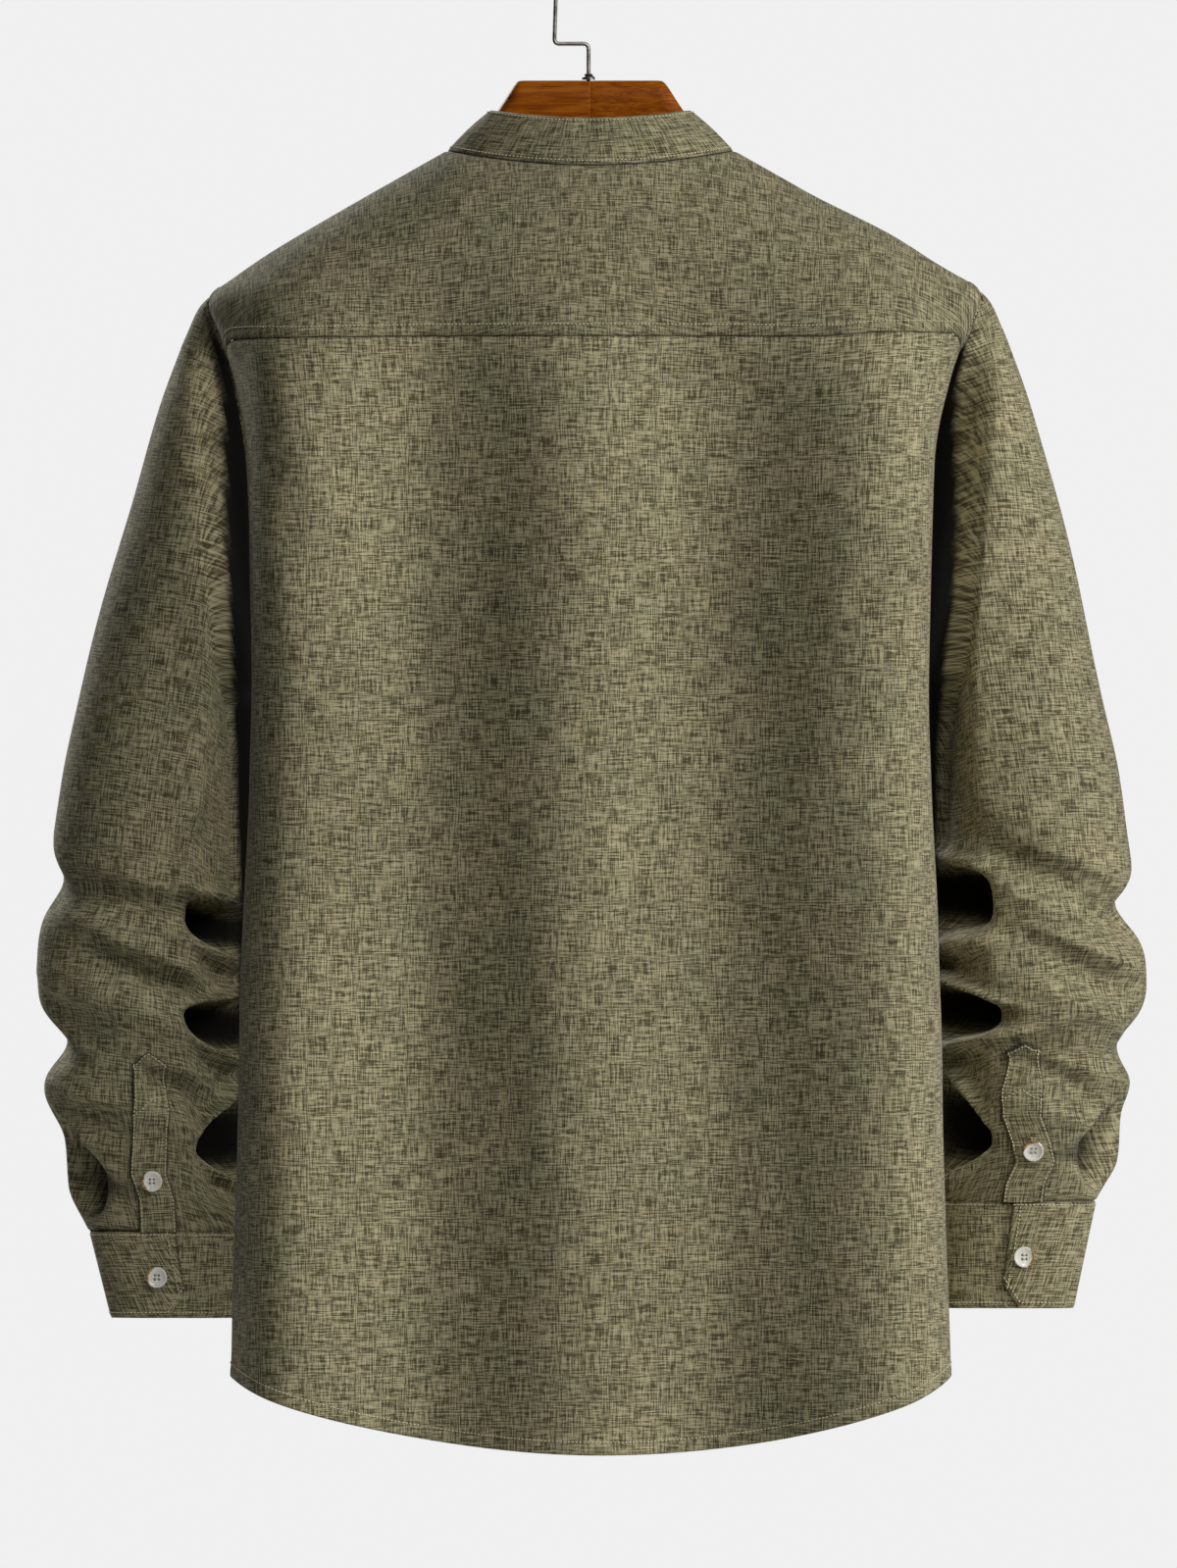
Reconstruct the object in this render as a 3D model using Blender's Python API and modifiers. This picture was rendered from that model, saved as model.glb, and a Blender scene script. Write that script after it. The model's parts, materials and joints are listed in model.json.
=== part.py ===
"""A long-sleeved shirt with a mandarin collar, hanging on its wooden hanger.

Metres, +Z up. The origin is the inside top of the hanger's hook, where a rod carries it.
The shirt's front faces -Y and its back +Y, and the wearer's left is +X.
Heights are written as drops below the origin, the way a tailor measures a hung garment.

The cloth is made of panels. Each panel is a grid of points on the body or sleeve surface, and a
second grid one cloth thickness inside it, closed round the rims. Panels that are sewn together
share their edge points, and each is cut back by half of SEAM_GAP there.
"""

import math

import bmesh
import bpy
import numpy as np
from mathutils import Vector

# ---------------------------------------------------------------- cloth and gaps
CLOTH = 0.0013              # wall of the single cloth
BAND_CLOTH = 0.0016         # plackets: a folded strip
COLLAR_CLOTH = 0.0020       # collar and cuffs: two layers and an interlining
CUFF_CLOTH = 0.0022
SEAM_GAP = 0.0003
MERGE_DISTANCE = 0.00001
SMALL_STEP = 0.0005         # step over which a surface's direction is measured
LAY_GAP = 0.00045           # between a strip and the panel that it lies on
PLACKET_LAY_GAP = 0.0008    # the same over a sleeve's creases

# ---------------------------------------------------------------- levels and widths of the cut
SHOULDER_TIP_DROP = 0.203
UNDERARM_DROP = 0.440
HEM_SIDE_DROP = 0.866
HEM_BACK_DROP = 0.914
HEM_FRONT_DROP = 0.900
HEM_BOW = 0.83              # share of the shirt-tail's fall that is one even bow
HEM_CORNER = 16             # power of the rest, close to the side seams
HEM_SHIFT = 0.045           # its lowest place is this share of the half width towards -X
NECK_SIDE_DROP = 0.1138
NECK_BACK_DROP = 0.1232
NECK_FRONT_DROP = 0.190
NECK_CURVE = 1.6            # power of the front neckline's fall
COLLAR_SIDE_DROP = 0.0890
COLLAR_BACK_DROP = 0.0940
COLLAR_FRONT_DROP = 0.1610
COLLAR_HALF_WIDTH = 0.0612
COLLAR_BACK_Y = 0.032
COLLAR_FRONT_Y = 0.066
YOKE_SEAM_DROP = 0.2285
YOKE_BOW = 0.25             # share of the yoke seam's fall that is one even bow
YOKE_BEND = 0.72            # the rest lies beyond this share of its half length
OVERLAP = 0.016             # each front runs this far past the centre line
OVERLAP_LIFT = 0.0026       # the left front stands this far off the right one
OVERLAP_END = 0.042         # |x| where the lift begins; it is whole from |x| = OVERLAP

# ---------------------------------------------------------------- armhole
ARM_POINTS = 30             # points round the armhole and round each sleeve
ARM_YOKE_BACK = 4           # armhole point where the yoke seam ends
ARM_YOKE_FRONT = 3          # armhole point, in front, where the shoulder seam ends
ARM_HALF_HEIGHT = (UNDERARM_DROP - SHOULDER_TIP_DROP) / 2
ARM_HALF_WIDTH = 0.025
ARM_FORWARD = 0.035         # the armhole's lower part lies this far in front of the shoulder
ARM_FORWARD_BY = 0.300      # drop by which it has moved forward

# ---------------------------------------------------------------- counts of the grids
BACK_COLUMNS = 30
SIDE_ROWS = 5
YOKE_SHARES = np.array([0.0, 0.08, 0.27, 0.5, 0.75, 1.0])   # rows from armhole to neck
SHOULDER_SPLIT = 3          # front columns to one row of the yoke along the shoulder seam
FRONT_COLUMNS = (len(YOKE_SHARES) - 1) * SHOULDER_SPLIT
FRONT_SHARES = np.interp(np.arange(FRONT_COLUMNS + 1) / SHOULDER_SPLIT,
                         np.arange(len(YOKE_SHARES)), YOKE_SHARES)
NECK_FRONT_STEPS = 6
COLLAR_ROWS = 2
FRONT_EDGE_SPACING = 1.5    # power that sets the front edge's points closer towards the neck
NECK_FRONT_SEAM = math.radians(18)   # neck angle of the front shoulder seams, before the side
NECK_YOKE_SIDE = math.radians(14)    # neck angle that faces the yoke seam's ends


class Table:
    """Rows of named columns, read as smooth curves that never overshoot a row."""

    def __init__(self, names, rows):
        self.columns = dict(zip(names.split(), np.array(rows, float).T))
        self.key = next(iter(self.columns.values()))

    def at(self, name, key):
        keys, values = self.key, self.columns[name]
        step = np.diff(keys)
        rise = np.diff(values) / step
        slope = np.zeros(len(keys))
        slope[0], slope[-1] = rise[0], rise[-1]
        before, after = rise[:-1], rise[1:]
        same = before * after > 0
        w1 = (2 * step[1:] + step[:-1])[same]
        w2 = (step[1:] + 2 * step[:-1])[same]
        slope[1:-1][same] = (w1 + w2) / (w1 / before[same] + w2 / after[same])
        key = np.clip(key, keys[0], keys[-1])
        i = np.clip(np.searchsorted(keys, key, side="right") - 1, 0, len(keys) - 2)
        h = step[i]
        t = (key - keys[i]) / h
        return ((1 + 2 * t) * (1 - t) ** 2 * values[i] + t * (1 - t) ** 2 * h * slope[i]
                + t * t * (3 - 2 * t) * values[i + 1] + t * t * (t - 1) * h * slope[i + 1])


# The body's level sections, from the neck over the shoulders to the hem.
BODY = Table("drop half_width depth_back depth_front square_back square_front", [
    (0.1000, 0.0625, 0.026, 0.024, 2.0, 2.0),
    (0.1135, 0.0870, 0.037, 0.033, 2.0, 2.0),
    (0.1310, 0.1180, 0.054, 0.050, 2.0, 1.85),
    (0.1550, 0.1600, 0.069, 0.066, 2.1, 1.75),
    (0.1790, 0.2000, 0.080, 0.079, 2.2, 1.75),
    (0.1930, 0.2200, 0.085, 0.083, 2.3, 1.75),
    (0.2030, 0.2330, 0.088, 0.086, 2.4, 1.8),
    (0.2080, 0.2350, 0.089, 0.087, 2.5, 1.85),
    (0.2240, 0.2290, 0.092, 0.090, 2.9, 2.0),
    (0.2560, 0.2190, 0.096, 0.094, 3.9, 2.3),
    (0.3080, 0.2108, 0.100, 0.098, 5.4, 2.6),
    (0.3620, 0.2085, 0.103, 0.100, 6.3, 2.6),
    (0.4400, 0.2076, 0.105, 0.101, 6.3, 2.6),
    (0.5000, 0.2085, 0.105, 0.101, 6.3, 2.6),
    (0.5900, 0.2135, 0.105, 0.101, 6.3, 2.6),
    (0.7430, 0.2170, 0.108, 0.103, 6.3, 2.6),
    (0.8660, 0.2205, 0.111, 0.105, 6.3, 2.6),
    (0.9400, 0.2215, 0.112, 0.106, 6.3, 2.6),
])

# The broad folds that hang down the body: how far the cloth stands away from the middle (+) or
# towards it (-) across its width.
FOLDS_BACK = Table("x out", [
    (-0.216, 0.0), (-0.192, 0.0140), (-0.074, -0.0180), (0.010, 0.0050),
    (0.100, -0.0180), (0.199, 0.0150), (0.218, 0.0),
])
FOLDS_FRONT = Table("x out", [
    (-0.216, 0.0), (-0.158, 0.0085), (-0.088, -0.0090), (-0.026, 0.0030),
    (0.034, 0.0030), (0.094, -0.0095), (0.164, 0.0080), (0.216, 0.0),
])
FOLD_START_DROP = 0.135     # the folds begin under the collar
FOLD_FULL_DROP = 0.290      # and are whole below the yoke
FOLD_SIDE_START = 0.25      # share of the half depth by which they have faded round the sides
FOLD_SIDE_FULL = 0.60       # and from which they are whole

# The wearer's right shoulder sits a little higher than the left one, and its sleeve further out.
RIGHT_RISE = 0.0038
RIGHT_RISE_X = (0.130, 0.190)       # distances from the middle over which the rise begins
RIGHT_RISE_DROP = (0.220, 0.470)    # drops over which it ends
RIGHT_OUT = 0.0050
RIGHT_OUT_X = (0.205, 0.235)
RIGHT_OUT_DROP = (0.310, 0.470)

# The side seam's place from front to back.
SIDE_SEAM = Table("drop y", [(0.440, -0.035), (0.620, -0.026), (0.866, -0.020)])

# The sleeve's stations, from the armhole (run 0) to the cuff (run 14), for the left (+X) sleeve.
# Each ring lies between its outer point and its inner point, beside the body.
SLEEVE = Table("run outer_x outer_drop inner_x inner_drop centre_y half_depth", [
    (0.0, 0.2330, 0.203, 0.2030, 0.440, -0.0210, 0.025),
    (0.5, 0.2400, 0.210, 0.2060, 0.443, -0.0230, 0.030),
    (1.0, 0.2475, 0.226, 0.2085, 0.447, -0.0260, 0.046),
    (2.0, 0.2620, 0.263, 0.2100, 0.456, -0.0320, 0.059),
    (3.0, 0.2802, 0.323, 0.2082, 0.470, -0.0410, 0.066),
    (4.0, 0.2976, 0.383, 0.2058, 0.488, -0.0500, 0.068),
    (5.0, 0.3126, 0.443, 0.2048, 0.512, -0.0560, 0.066),
    (6.0, 0.3250, 0.495, 0.2045, 0.540, -0.0600, 0.063),
    (7.0, 0.3310, 0.535, 0.2045, 0.565, -0.0620, 0.060),
    (8.0, 0.3380, 0.585, 0.2050, 0.602, -0.0640, 0.057),
    (9.0, 0.3400, 0.622, 0.2055, 0.630, -0.0655, 0.054),
    (10.0, 0.3380, 0.660, 0.2060, 0.663, -0.0665, 0.051),
    (11.0, 0.3340, 0.692, 0.2065, 0.692, -0.0680, 0.048),
    (12.0, 0.3215, 0.722, 0.2070, 0.722, -0.0690, 0.044),
    (13.0, 0.3185, 0.751, 0.2075, 0.751, -0.0700, 0.038),
    (14.0, 0.3040, 0.779, 0.2090, 0.779, -0.0700, 0.030),
])
SLEEVE_SQUARENESS = 2.3
# Behind the body's side a sleeve is drawn away from it, which leaves a deep narrow gap.
SLEEVE_TUCK = 0.0150
SLEEVE_TUCK_X = (0.002, 0.036)      # distances from the body's side over which the tuck ends
SLEEVE_TUCK_Y = (0.000, 0.020)      # distances behind the ring's middle over which it begins
SLEEVE_TUCK_START = (0.5, 2.0)      # runs over which it begins
SLEEVE_TUCK_END = (12.6, 14.0)      # and ends
SLEEVE_LAST_RUN = 14.0
SLEEVE_CUFF_RUN = 7.0       # below this run the sleeve is fitted to its own cuff
ARMHOLE_FADE_RUN = 1.0      # run by which the armhole's own shape has gone
SLEEVE_RUNS = np.concatenate([[0.0, 0.25, 0.5, 1.0, 1.5, 2.0, 3.0, 4.0, 5.0, 6.0],
                              np.linspace(7.0, 14.0, 19)])

# Creases that cut into a sleeve. The angle runs from the outer side (0) over the back (90) to
# the side beside the body (180) and round the front (270).
CREASE_TILT = 0.2           # how much of the way to the ring's middle they follow in height
CREASE_COLUMNS = "drop angle depth half_height half_angle slant"
CREASES = {
    +1: [
        (0.567, 12, 0.013, 0.016, 52, 0.010),
        (0.592, 140, 0.030, 0.016, 36, -0.010),
        (0.611, 235, 0.016, 0.016, 40, 0.012),
        (0.652, 140, 0.030, 0.013, 34, -0.008),
        (0.663, 6, 0.019, 0.016, 55, 0.006),
        (0.690, 262, 0.014, 0.014, 42, -0.012),
        (0.732, 142, 0.021, 0.014, 34, -0.006),
        (0.746, 42, 0.021, 0.016, 30, 0.004),
    ],
    -1: [
        (0.582, 12, 0.018, 0.015, 52, 0.010),
        (0.583, 140, 0.029, 0.016, 36, -0.010),
        (0.622, 248, 0.015, 0.016, 40, 0.012),
        (0.642, 140, 0.031, 0.013, 34, -0.008),
        (0.666, 6, 0.017, 0.017, 55, 0.006),
        (0.700, 280, 0.014, 0.014, 42, -0.012),
        (0.720, 142, 0.023, 0.017, 34, -0.006),
        (0.719, 40, 0.019, 0.014, 30, 0.004),
    ],
}

# The two cuffs: where each one's top and bottom lie, and how far its edges are from the middle.
CUFFS = {
    +1: dict(top_drop=0.7785, bottom_drop=0.8310, top_outer=0.3080, top_inner=0.2090,
             bottom_outer=0.2940, bottom_inner=0.2060),
    -1: dict(top_drop=0.7600, bottom_drop=0.8250, top_outer=0.3108, top_inner=0.2150,
             bottom_outer=0.2975, bottom_inner=0.2110),
}
CUFF_Y = -0.070
CUFF_TOP_HALF_DEPTH = 0.030
CUFF_BOTTOM_HALF_DEPTH = 0.028
CUFF_COLUMNS = 34
CUFF_ROWS = 2
CUFF_END_ANGLE = math.radians(94)       # the lapped end, on the back
CUFF_START_ANGLE = math.radians(60)     # the end that lies under it
CUFF_LIFT_FROM = math.radians(352)
CUFF_LIFT_TO = math.radians(412)
CUFF_CHAMFER_WIDTH = 0.012
CUFF_CHAMFER_HEIGHT = 0.016

# The tower plackets above the cuffs, on the back of each sleeve.
PLACKETS = {
    +1: dict(centre=(0.2712, 0.2650), tip_drop=0.667, width=0.0225),
    -1: dict(centre=(0.2650, 0.2655), tip_drop=0.660, width=0.0250),
}
# How far a placket leans away from the body at a share of its height: it follows the folds.
PLACKET_SWAY = {
    +1: ((0.0, 0.0), (0.20, 0.0), (0.36, 0.0040), (0.55, 0.0020), (0.75, 0.0), (1.0, 0.0)),
    -1: ((0.0, 0.0), (0.12, 0.0016), (0.26, 0.0078), (0.40, 0.0050), (0.56, 0.0), (1.0, 0.0)),
}
PLACKET_TIP_RISE = 0.0075
PLACKET_END_RUN = 0.03      # a placket ends this run above the cuff's seam
PLACKET_ROWS = 9
PLACKET_COLUMNS = 4
SEARCH_STEPS = 400          # places tried when a run is looked up from a drop

# ---------------------------------------------------------------- buttons
BUTTON_RADIUS = 0.0064
BUTTON_THICKNESS = 0.0026
BUTTON_RIM = 0.0019
BUTTON_DISH = 0.72          # height of the sunk middle, as a share of the thickness
BUTTON_CREST = 0.4          # place of the rim's crest, as a share of its width from outside
BUTTON_FOOT = 0.80          # radius of the flat back, as a share of the radius
BUTTON_STAND = 0.0007       # thread shank under a button
BUTTON_SIDES = 12
FRONT_BUTTON_DROPS = [0.235 + 0.088 * i for i in range(7)]
CUFF_BUTTONS = {+1: (0.2652, 0.806), -1: (0.2658, 0.7935)}
GAUNTLET_BUTTONS = {+1: 0.7450, -1: 0.7280}

# ---------------------------------------------------------------- hanger
WIRE_RADIUS = 0.00125
HOOK_RADIUS = 0.0213
HOOK_SHANK_X = 0.0222
HOOK_JOG_DROP = 0.0485
HOOK_STEM_X = 0.0012
HOOK_STEM_BOTTOM = 0.084
HOOK_BEND = 0.0032
HOOK_STEPS = 16             # points round the hook's half circle
BEND_STEPS = 4              # and round each bend
FERRULE_RADIUS = 0.0040
FERRULE_TOP_RADIUS = 0.0028
FERRULE_HEIGHT = 0.0024
FERRULE_EDGE_HEIGHT = 0.0014
FERRULE_SIDES = 14
FERRULE_STAND = 0.0005      # its foot over the wood, whose top is slightly crowned
BORE_RADIUS = WIRE_RADIUS + SEAM_GAP
BORE_BOTTOM = HOOK_STEM_BOTTOM + SEAM_GAP
BORE_OVERRUN = 0.004        # the cutter's reach past the wood's top
BORE_SIDES = 12
HANGER_TOP = 0.071
HANGER = Table("x top bottom half_thick", [
    (0.000, 0.0710, 0.126, 0.0090),
    (0.044, 0.0710, 0.130, 0.0090),
    (0.048, 0.0755, 0.131, 0.0090),
    (0.056, 0.0885, 0.134, 0.0092),
    (0.066, 0.1010, 0.138, 0.0096),
    (0.084, 0.1158, 0.146, 0.0104),
    (0.110, 0.1299, 0.158, 0.0118),
    (0.150, 0.1526, 0.180, 0.0145),
    (0.190, 0.1774, 0.202, 0.0162),
    (0.212, 0.1935, 0.214, 0.0142),
    (0.219, 0.2010, 0.212, 0.0100),
])
HANGER_STATIONS = [0.0, 0.022, 0.041, 0.044, 0.046, 0.050, 0.056, 0.064, 0.074, 0.088,
                   0.108, 0.130, 0.155, 0.180, 0.200, 0.212, 0.219]
HANGER_SECTION = 14
HANGER_ROUNDNESS = 3.4


# ================================================================ materials and mesh helpers
def material(name, colour, roughness, metallic=0.0):
    """A plain Principled material."""
    new = bpy.data.materials.new(name)
    new.use_nodes = True
    shader = new.node_tree.nodes["Principled BSDF"]
    shader.inputs["Base Color"].default_value = (*colour, 1.0)
    shader.inputs["Roughness"].default_value = roughness
    shader.inputs["Metallic"].default_value = metallic
    return new


def add_object(name, points, faces, look, collection):
    """A mesh object whose faces all point outwards."""
    mesh = bpy.data.meshes.new(name)
    mesh.from_pydata([tuple(p) for p in points], [], faces)
    shape = bmesh.new()
    shape.from_mesh(mesh)
    bmesh.ops.recalc_face_normals(shape, faces=shape.faces)
    if shape.calc_volume(signed=True) < 0:
        bmesh.ops.reverse_faces(shape, faces=shape.faces)
    shape.to_mesh(mesh)
    shape.free()
    mesh.shade_smooth()
    mesh.set_sharp_from_angle(angle=math.radians(50))
    mesh.materials.append(look)
    item = bpy.data.objects.new(name, mesh)
    collection.objects.link(item)
    return item


def wall(name, outer, inner, look, collection, round_tube=False):
    """A closed wall between an outer and an inner grid of points, [row, column]."""
    rows, columns = outer.shape[:2]
    count = rows * columns
    points = np.concatenate([outer.reshape(-1, 3), inner.reshape(-1, 3)])
    faces = []

    def corner(row, column, skin):
        return skin * count + row * columns + column % columns

    spans = columns if round_tube else columns - 1
    for row in range(rows - 1):
        for column in range(spans):
            ring = [(row, column), (row, column + 1), (row + 1, column + 1), (row + 1, column)]
            faces.append([corner(r, c, 0) for r, c in ring])
            faces.append([corner(r, c, 1) for r, c in reversed(ring)])
    for row in (0, rows - 1):
        for column in range(spans):
            rim = [corner(row, column, 0), corner(row, column, 1),
                   corner(row, column + 1, 1), corner(row, column + 1, 0)]
            faces.append(rim if row == 0 else rim[::-1])
    if not round_tube:
        for column in (0, columns - 1):
            for row in range(rows - 1):
                rim = [corner(row, column, 0), corner(row + 1, column, 0),
                       corner(row + 1, column, 1), corner(row, column, 1)]
                faces.append(rim if column == 0 else rim[::-1])
    return add_object(name, points, faces, look, collection)


def unit(vectors):
    return vectors / np.linalg.norm(vectors, axis=-1, keepdims=True)


def smooth_step(value):
    value = np.clip(value, 0.0, 1.0)
    return value * value * (3 - 2 * value)


def cut_back(grid, edges, amount=SEAM_GAP / 2):
    """The grid with the named edges moved into the panel by half a seam's gap."""
    grid = grid.copy()
    source = grid.copy()
    if "left" in edges:
        grid[:, 0] += amount * unit(source[:, 1] - source[:, 0])
    if "right" in edges:
        grid[:, -1] += amount * unit(source[:, -2] - source[:, -1])
    if "bottom" in edges:
        grid[0] += amount * unit(source[1] - source[0])
    if "top" in edges:
        grid[-1] += amount * unit(source[-2] - source[-1])
    return grid


def patch(bottom, top, left, right, shares):
    """A grid of (turn, drop) pairs between four edges that meet at their corners."""
    across = shares[None, :, None]
    up = np.linspace(0, 1, len(left))[:, None, None]
    along = (1 - up) * bottom[None] + up * top[None]
    beside = (1 - across) * left[:, None] + across * right[:, None]
    corners = ((1 - up) * ((1 - across) * bottom[0] + across * bottom[-1])
               + up * ((1 - across) * top[0] + across * top[-1]))
    return along + beside - corners


# ================================================================ the body's surface
def section_share(turn, squareness):
    """A level section's point, as shares of its half width and half depth."""
    c, s = np.cos(turn), np.sin(turn)
    reach = (np.abs(c) ** squareness + np.abs(s) ** squareness) ** (1 / squareness)
    return c / reach, s / reach


def squareness(at_back, drop):
    """How square a level section is, at the back or in front."""
    return np.where(at_back, BODY.at("square_back", drop), BODY.at("square_front", drop))


def turn_at_x(x, drop, at_back):
    """The turn, from 0 at +X to pi at -X, of a point with this x at the back or in front."""
    n = squareness(at_back, drop)
    share = np.clip(np.abs(x) / BODY.at("half_width", drop), 1e-6, 0.999999)
    angle = np.arctan((share ** -n - 1) ** (1 / n))
    return np.where(np.asarray(x) >= 0, angle, math.pi - angle)


def turn_at_y(y, drop):
    """The turn, near 0, of a point on the +X side with this y."""
    at_back = np.asarray(y) >= 0
    n = squareness(at_back, drop)
    depth = np.where(at_back, BODY.at("depth_back", drop), BODY.at("depth_front", drop))
    share = np.clip(np.abs(y) / depth, 1e-6, 0.999999)
    return np.sign(y) * np.arctan(1 / (share ** -n - 1) ** (1 / n))


def between(value, limits):
    """A smooth share from 0 to 1 as a value passes from one limit to the other."""
    return smooth_step((value - limits[0]) / (limits[1] - limits[0]))


def uneven(point):
    """A point moved as the higher right shoulder and its wider sleeve need."""
    out, drop = -point[..., 0], -point[..., 2]
    rise = RIGHT_RISE * between(out, RIGHT_RISE_X) * (1 - between(drop, RIGHT_RISE_DROP))
    wider = RIGHT_OUT * between(out, RIGHT_OUT_X) * (1 - between(drop, RIGHT_OUT_DROP))
    return point + np.stack([-wider, 0 * rise, rise], -1)


def body_form(turn, drop):
    """A point of the cloth's outer face on the body, before the shoulders hang unevenly."""
    turn, drop = np.broadcast_arrays(np.asarray(turn, float), np.asarray(drop, float))
    n = squareness(np.sin(turn) >= 0, drop)
    share_x, share_y = section_share(turn, n)
    width = BODY.at("half_width", drop)
    depth = np.where(share_y >= 0, BODY.at("depth_back", drop), BODY.at("depth_front", drop))
    x, y = share_x * width, share_y * depth
    fold = np.where(share_y >= 0, FOLDS_BACK.at("out", x), -FOLDS_FRONT.at("out", x))
    fold = fold * between(drop, (FOLD_START_DROP, FOLD_FULL_DROP))
    fold = fold * between(np.abs(share_y), (FOLD_SIDE_START, FOLD_SIDE_FULL))
    return np.stack([x, y + fold, -drop], -1)


def body_point(turn, drop, lift=0.0):
    """A point of the cloth's outer face on the body, or one that stands off it by lift."""
    point = uneven(body_form(turn, drop))
    if np.any(np.asarray(lift) != 0.0):
        point = point + np.asarray(lift)[..., None] * body_normal(turn, drop)
    return point


def body_normal(turn, drop):
    """The outward direction of the body's surface."""
    across = body_point(turn + SMALL_STEP, drop) - body_point(turn - SMALL_STEP, drop)
    down = body_point(turn, drop + SMALL_STEP) - body_point(turn, drop - SMALL_STEP)
    return unit(np.cross(down, across))


def neck_drop(angle):
    """The neck seam's drop at an angle round the neck: 0 at +X, 90 degrees at the back."""
    s = np.sin(angle)
    back = NECK_SIDE_DROP + (NECK_BACK_DROP - NECK_SIDE_DROP) * s * s
    front = NECK_SIDE_DROP + (NECK_FRONT_DROP - NECK_SIDE_DROP) * np.abs(s) ** NECK_CURVE
    return np.where(s >= 0, back, front)


def neck_edge(angles):
    """(turn, drop) pairs of the neck seam."""
    angles = np.asarray(angles, float)
    drop = neck_drop(angles)
    half = BODY.at("half_width", NECK_SIDE_DROP)
    at_back = np.sin(angles) >= 0
    turn = turn_at_x(half * np.cos(angles), drop, at_back)
    in_front = np.where(angles > 0, 2 * math.pi - turn, -turn)
    return np.stack([np.where(at_back, turn, in_front), drop], -1)


def armhole_edge(steps):
    """(turn, drop) pairs of the +X armhole: 0 at the shoulder tip, positive round the back."""
    angle = np.asarray(steps, float) * 2 * math.pi / ARM_POINTS
    drop = SHOULDER_TIP_DROP + ARM_HALF_HEIGHT * (1 - np.cos(angle))
    forward = ARM_FORWARD * smooth_step((drop - SHOULDER_TIP_DROP)
                                        / (ARM_FORWARD_BY - SHOULDER_TIP_DROP))
    return np.stack([turn_at_y(ARM_HALF_WIDTH * np.sin(angle) - forward, drop), drop], -1)


def mirrored(edge):
    """The same edge on the other side of the body, as (turn, drop) pairs."""
    return np.stack([math.pi - edge[..., 0], edge[..., 1]], -1)


def side_edge():
    """(turn, drop) pairs of the +X side seam, hem first, without the underarm point."""
    drop = np.linspace(HEM_SIDE_DROP, UNDERARM_DROP, SIDE_ROWS + 1)[:-1]
    return np.stack([turn_at_y(SIDE_SEAM.at("y", drop), drop), drop], -1)


def yoke_seam():
    """(turn, drop) pairs of the yoke seam across the back, from the +X armhole."""
    end = armhole_edge([ARM_YOKE_BACK])[0]
    turn = np.linspace(end[0], math.pi - end[0], BACK_COLUMNS + 1)
    share = np.abs(np.linspace(-1, 1, BACK_COLUMNS + 1))
    fall = YOKE_BOW * share ** 2 + (1 - YOKE_BOW) * between(share, (YOKE_BEND, 1.0))
    return np.stack([turn, YOKE_SEAM_DROP + (end[1] - YOKE_SEAM_DROP) * fall], -1)


def hem_edge(turns, middle_drop):
    """(turn, drop) pairs of the shirt-tail hem between two side seams."""
    x = section_share(turns, squareness(np.sin(turns) >= 0, HEM_SIDE_DROP))[0]
    x = x / np.abs(x).max()
    share = np.abs(x + HEM_SHIFT * (1 - x * x))
    fall = HEM_BOW * share ** 2 + (1 - HEM_BOW) * share ** HEM_CORNER
    return np.stack([turns, middle_drop - (middle_drop - HEM_SIDE_DROP) * fall], -1)


def overlap_lift(side, x):
    """How far the left front and the collar's left end stand off the right ones."""
    if side < 0:
        return np.zeros_like(x)
    return OVERLAP_LIFT * smooth_step((OVERLAP_END - x) / (OVERLAP_END - OVERLAP))


def body_panel(name, grid, edges, look, collection):
    """A panel from a grid of (turn, drop) pairs, cut back along its sewn edges."""
    turn, drop = grid[..., 0], grid[..., 1]
    outer = body_point(turn, drop)
    inner = outer - CLOTH * body_normal(turn, drop)
    return wall(name, cut_back(outer, edges), cut_back(inner, edges), look, collection)


# ================================================================ body panels
def make_back(look, collection):
    left = np.concatenate([side_edge(),
                           armhole_edge(range(ARM_POINTS // 2, ARM_YOKE_BACK - 1, -1))])
    turns = np.linspace(left[0, 0], math.pi - left[0, 0], BACK_COLUMNS + 1)
    shares = np.linspace(0, 1, BACK_COLUMNS + 1)
    grid = patch(hem_edge(turns, HEM_BACK_DROP), yoke_seam(), left, mirrored(left), shares)
    body_panel("back", grid, ("left", "right", "top"), look, collection)


def yoke_neck_angles():
    """Neck angles of the yoke's inner edge, one for each point of its outer edge."""
    front = np.linspace(-NECK_FRONT_SEAM, 0, ARM_YOKE_FRONT + 1)[:-1]
    side = np.linspace(0, NECK_YOKE_SIDE, ARM_YOKE_BACK + 1)[:-1]
    first = np.concatenate([front, side])
    middle = np.linspace(NECK_YOKE_SIDE, math.pi - NECK_YOKE_SIDE, BACK_COLUMNS + 1)
    return np.concatenate([first, middle, math.pi - first[::-1]])


def make_yoke(look, collection):
    side = armhole_edge(range(-ARM_YOKE_FRONT, ARM_YOKE_BACK))
    outer_edge = np.concatenate([side, yoke_seam(), mirrored(side)[::-1]])
    neck = neck_edge(yoke_neck_angles())
    up = YOKE_SHARES[:, None, None]
    grid = (1 - up) * outer_edge[None] + up * neck[None]
    body_panel("yoke", grid, ("left", "right", "bottom", "top"), look, collection)


def centre_front_angle():
    """Neck angle of the front edge, just past the centre line."""
    half = BODY.at("half_width", NECK_SIDE_DROP)
    return -(math.pi / 2 + math.asin(OVERLAP / half))


def front_neck_angles():
    """Neck angles from the front edge to the front shoulder seam."""
    return np.linspace(centre_front_angle(), -NECK_FRONT_SEAM, NECK_FRONT_STEPS + 1)


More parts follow.
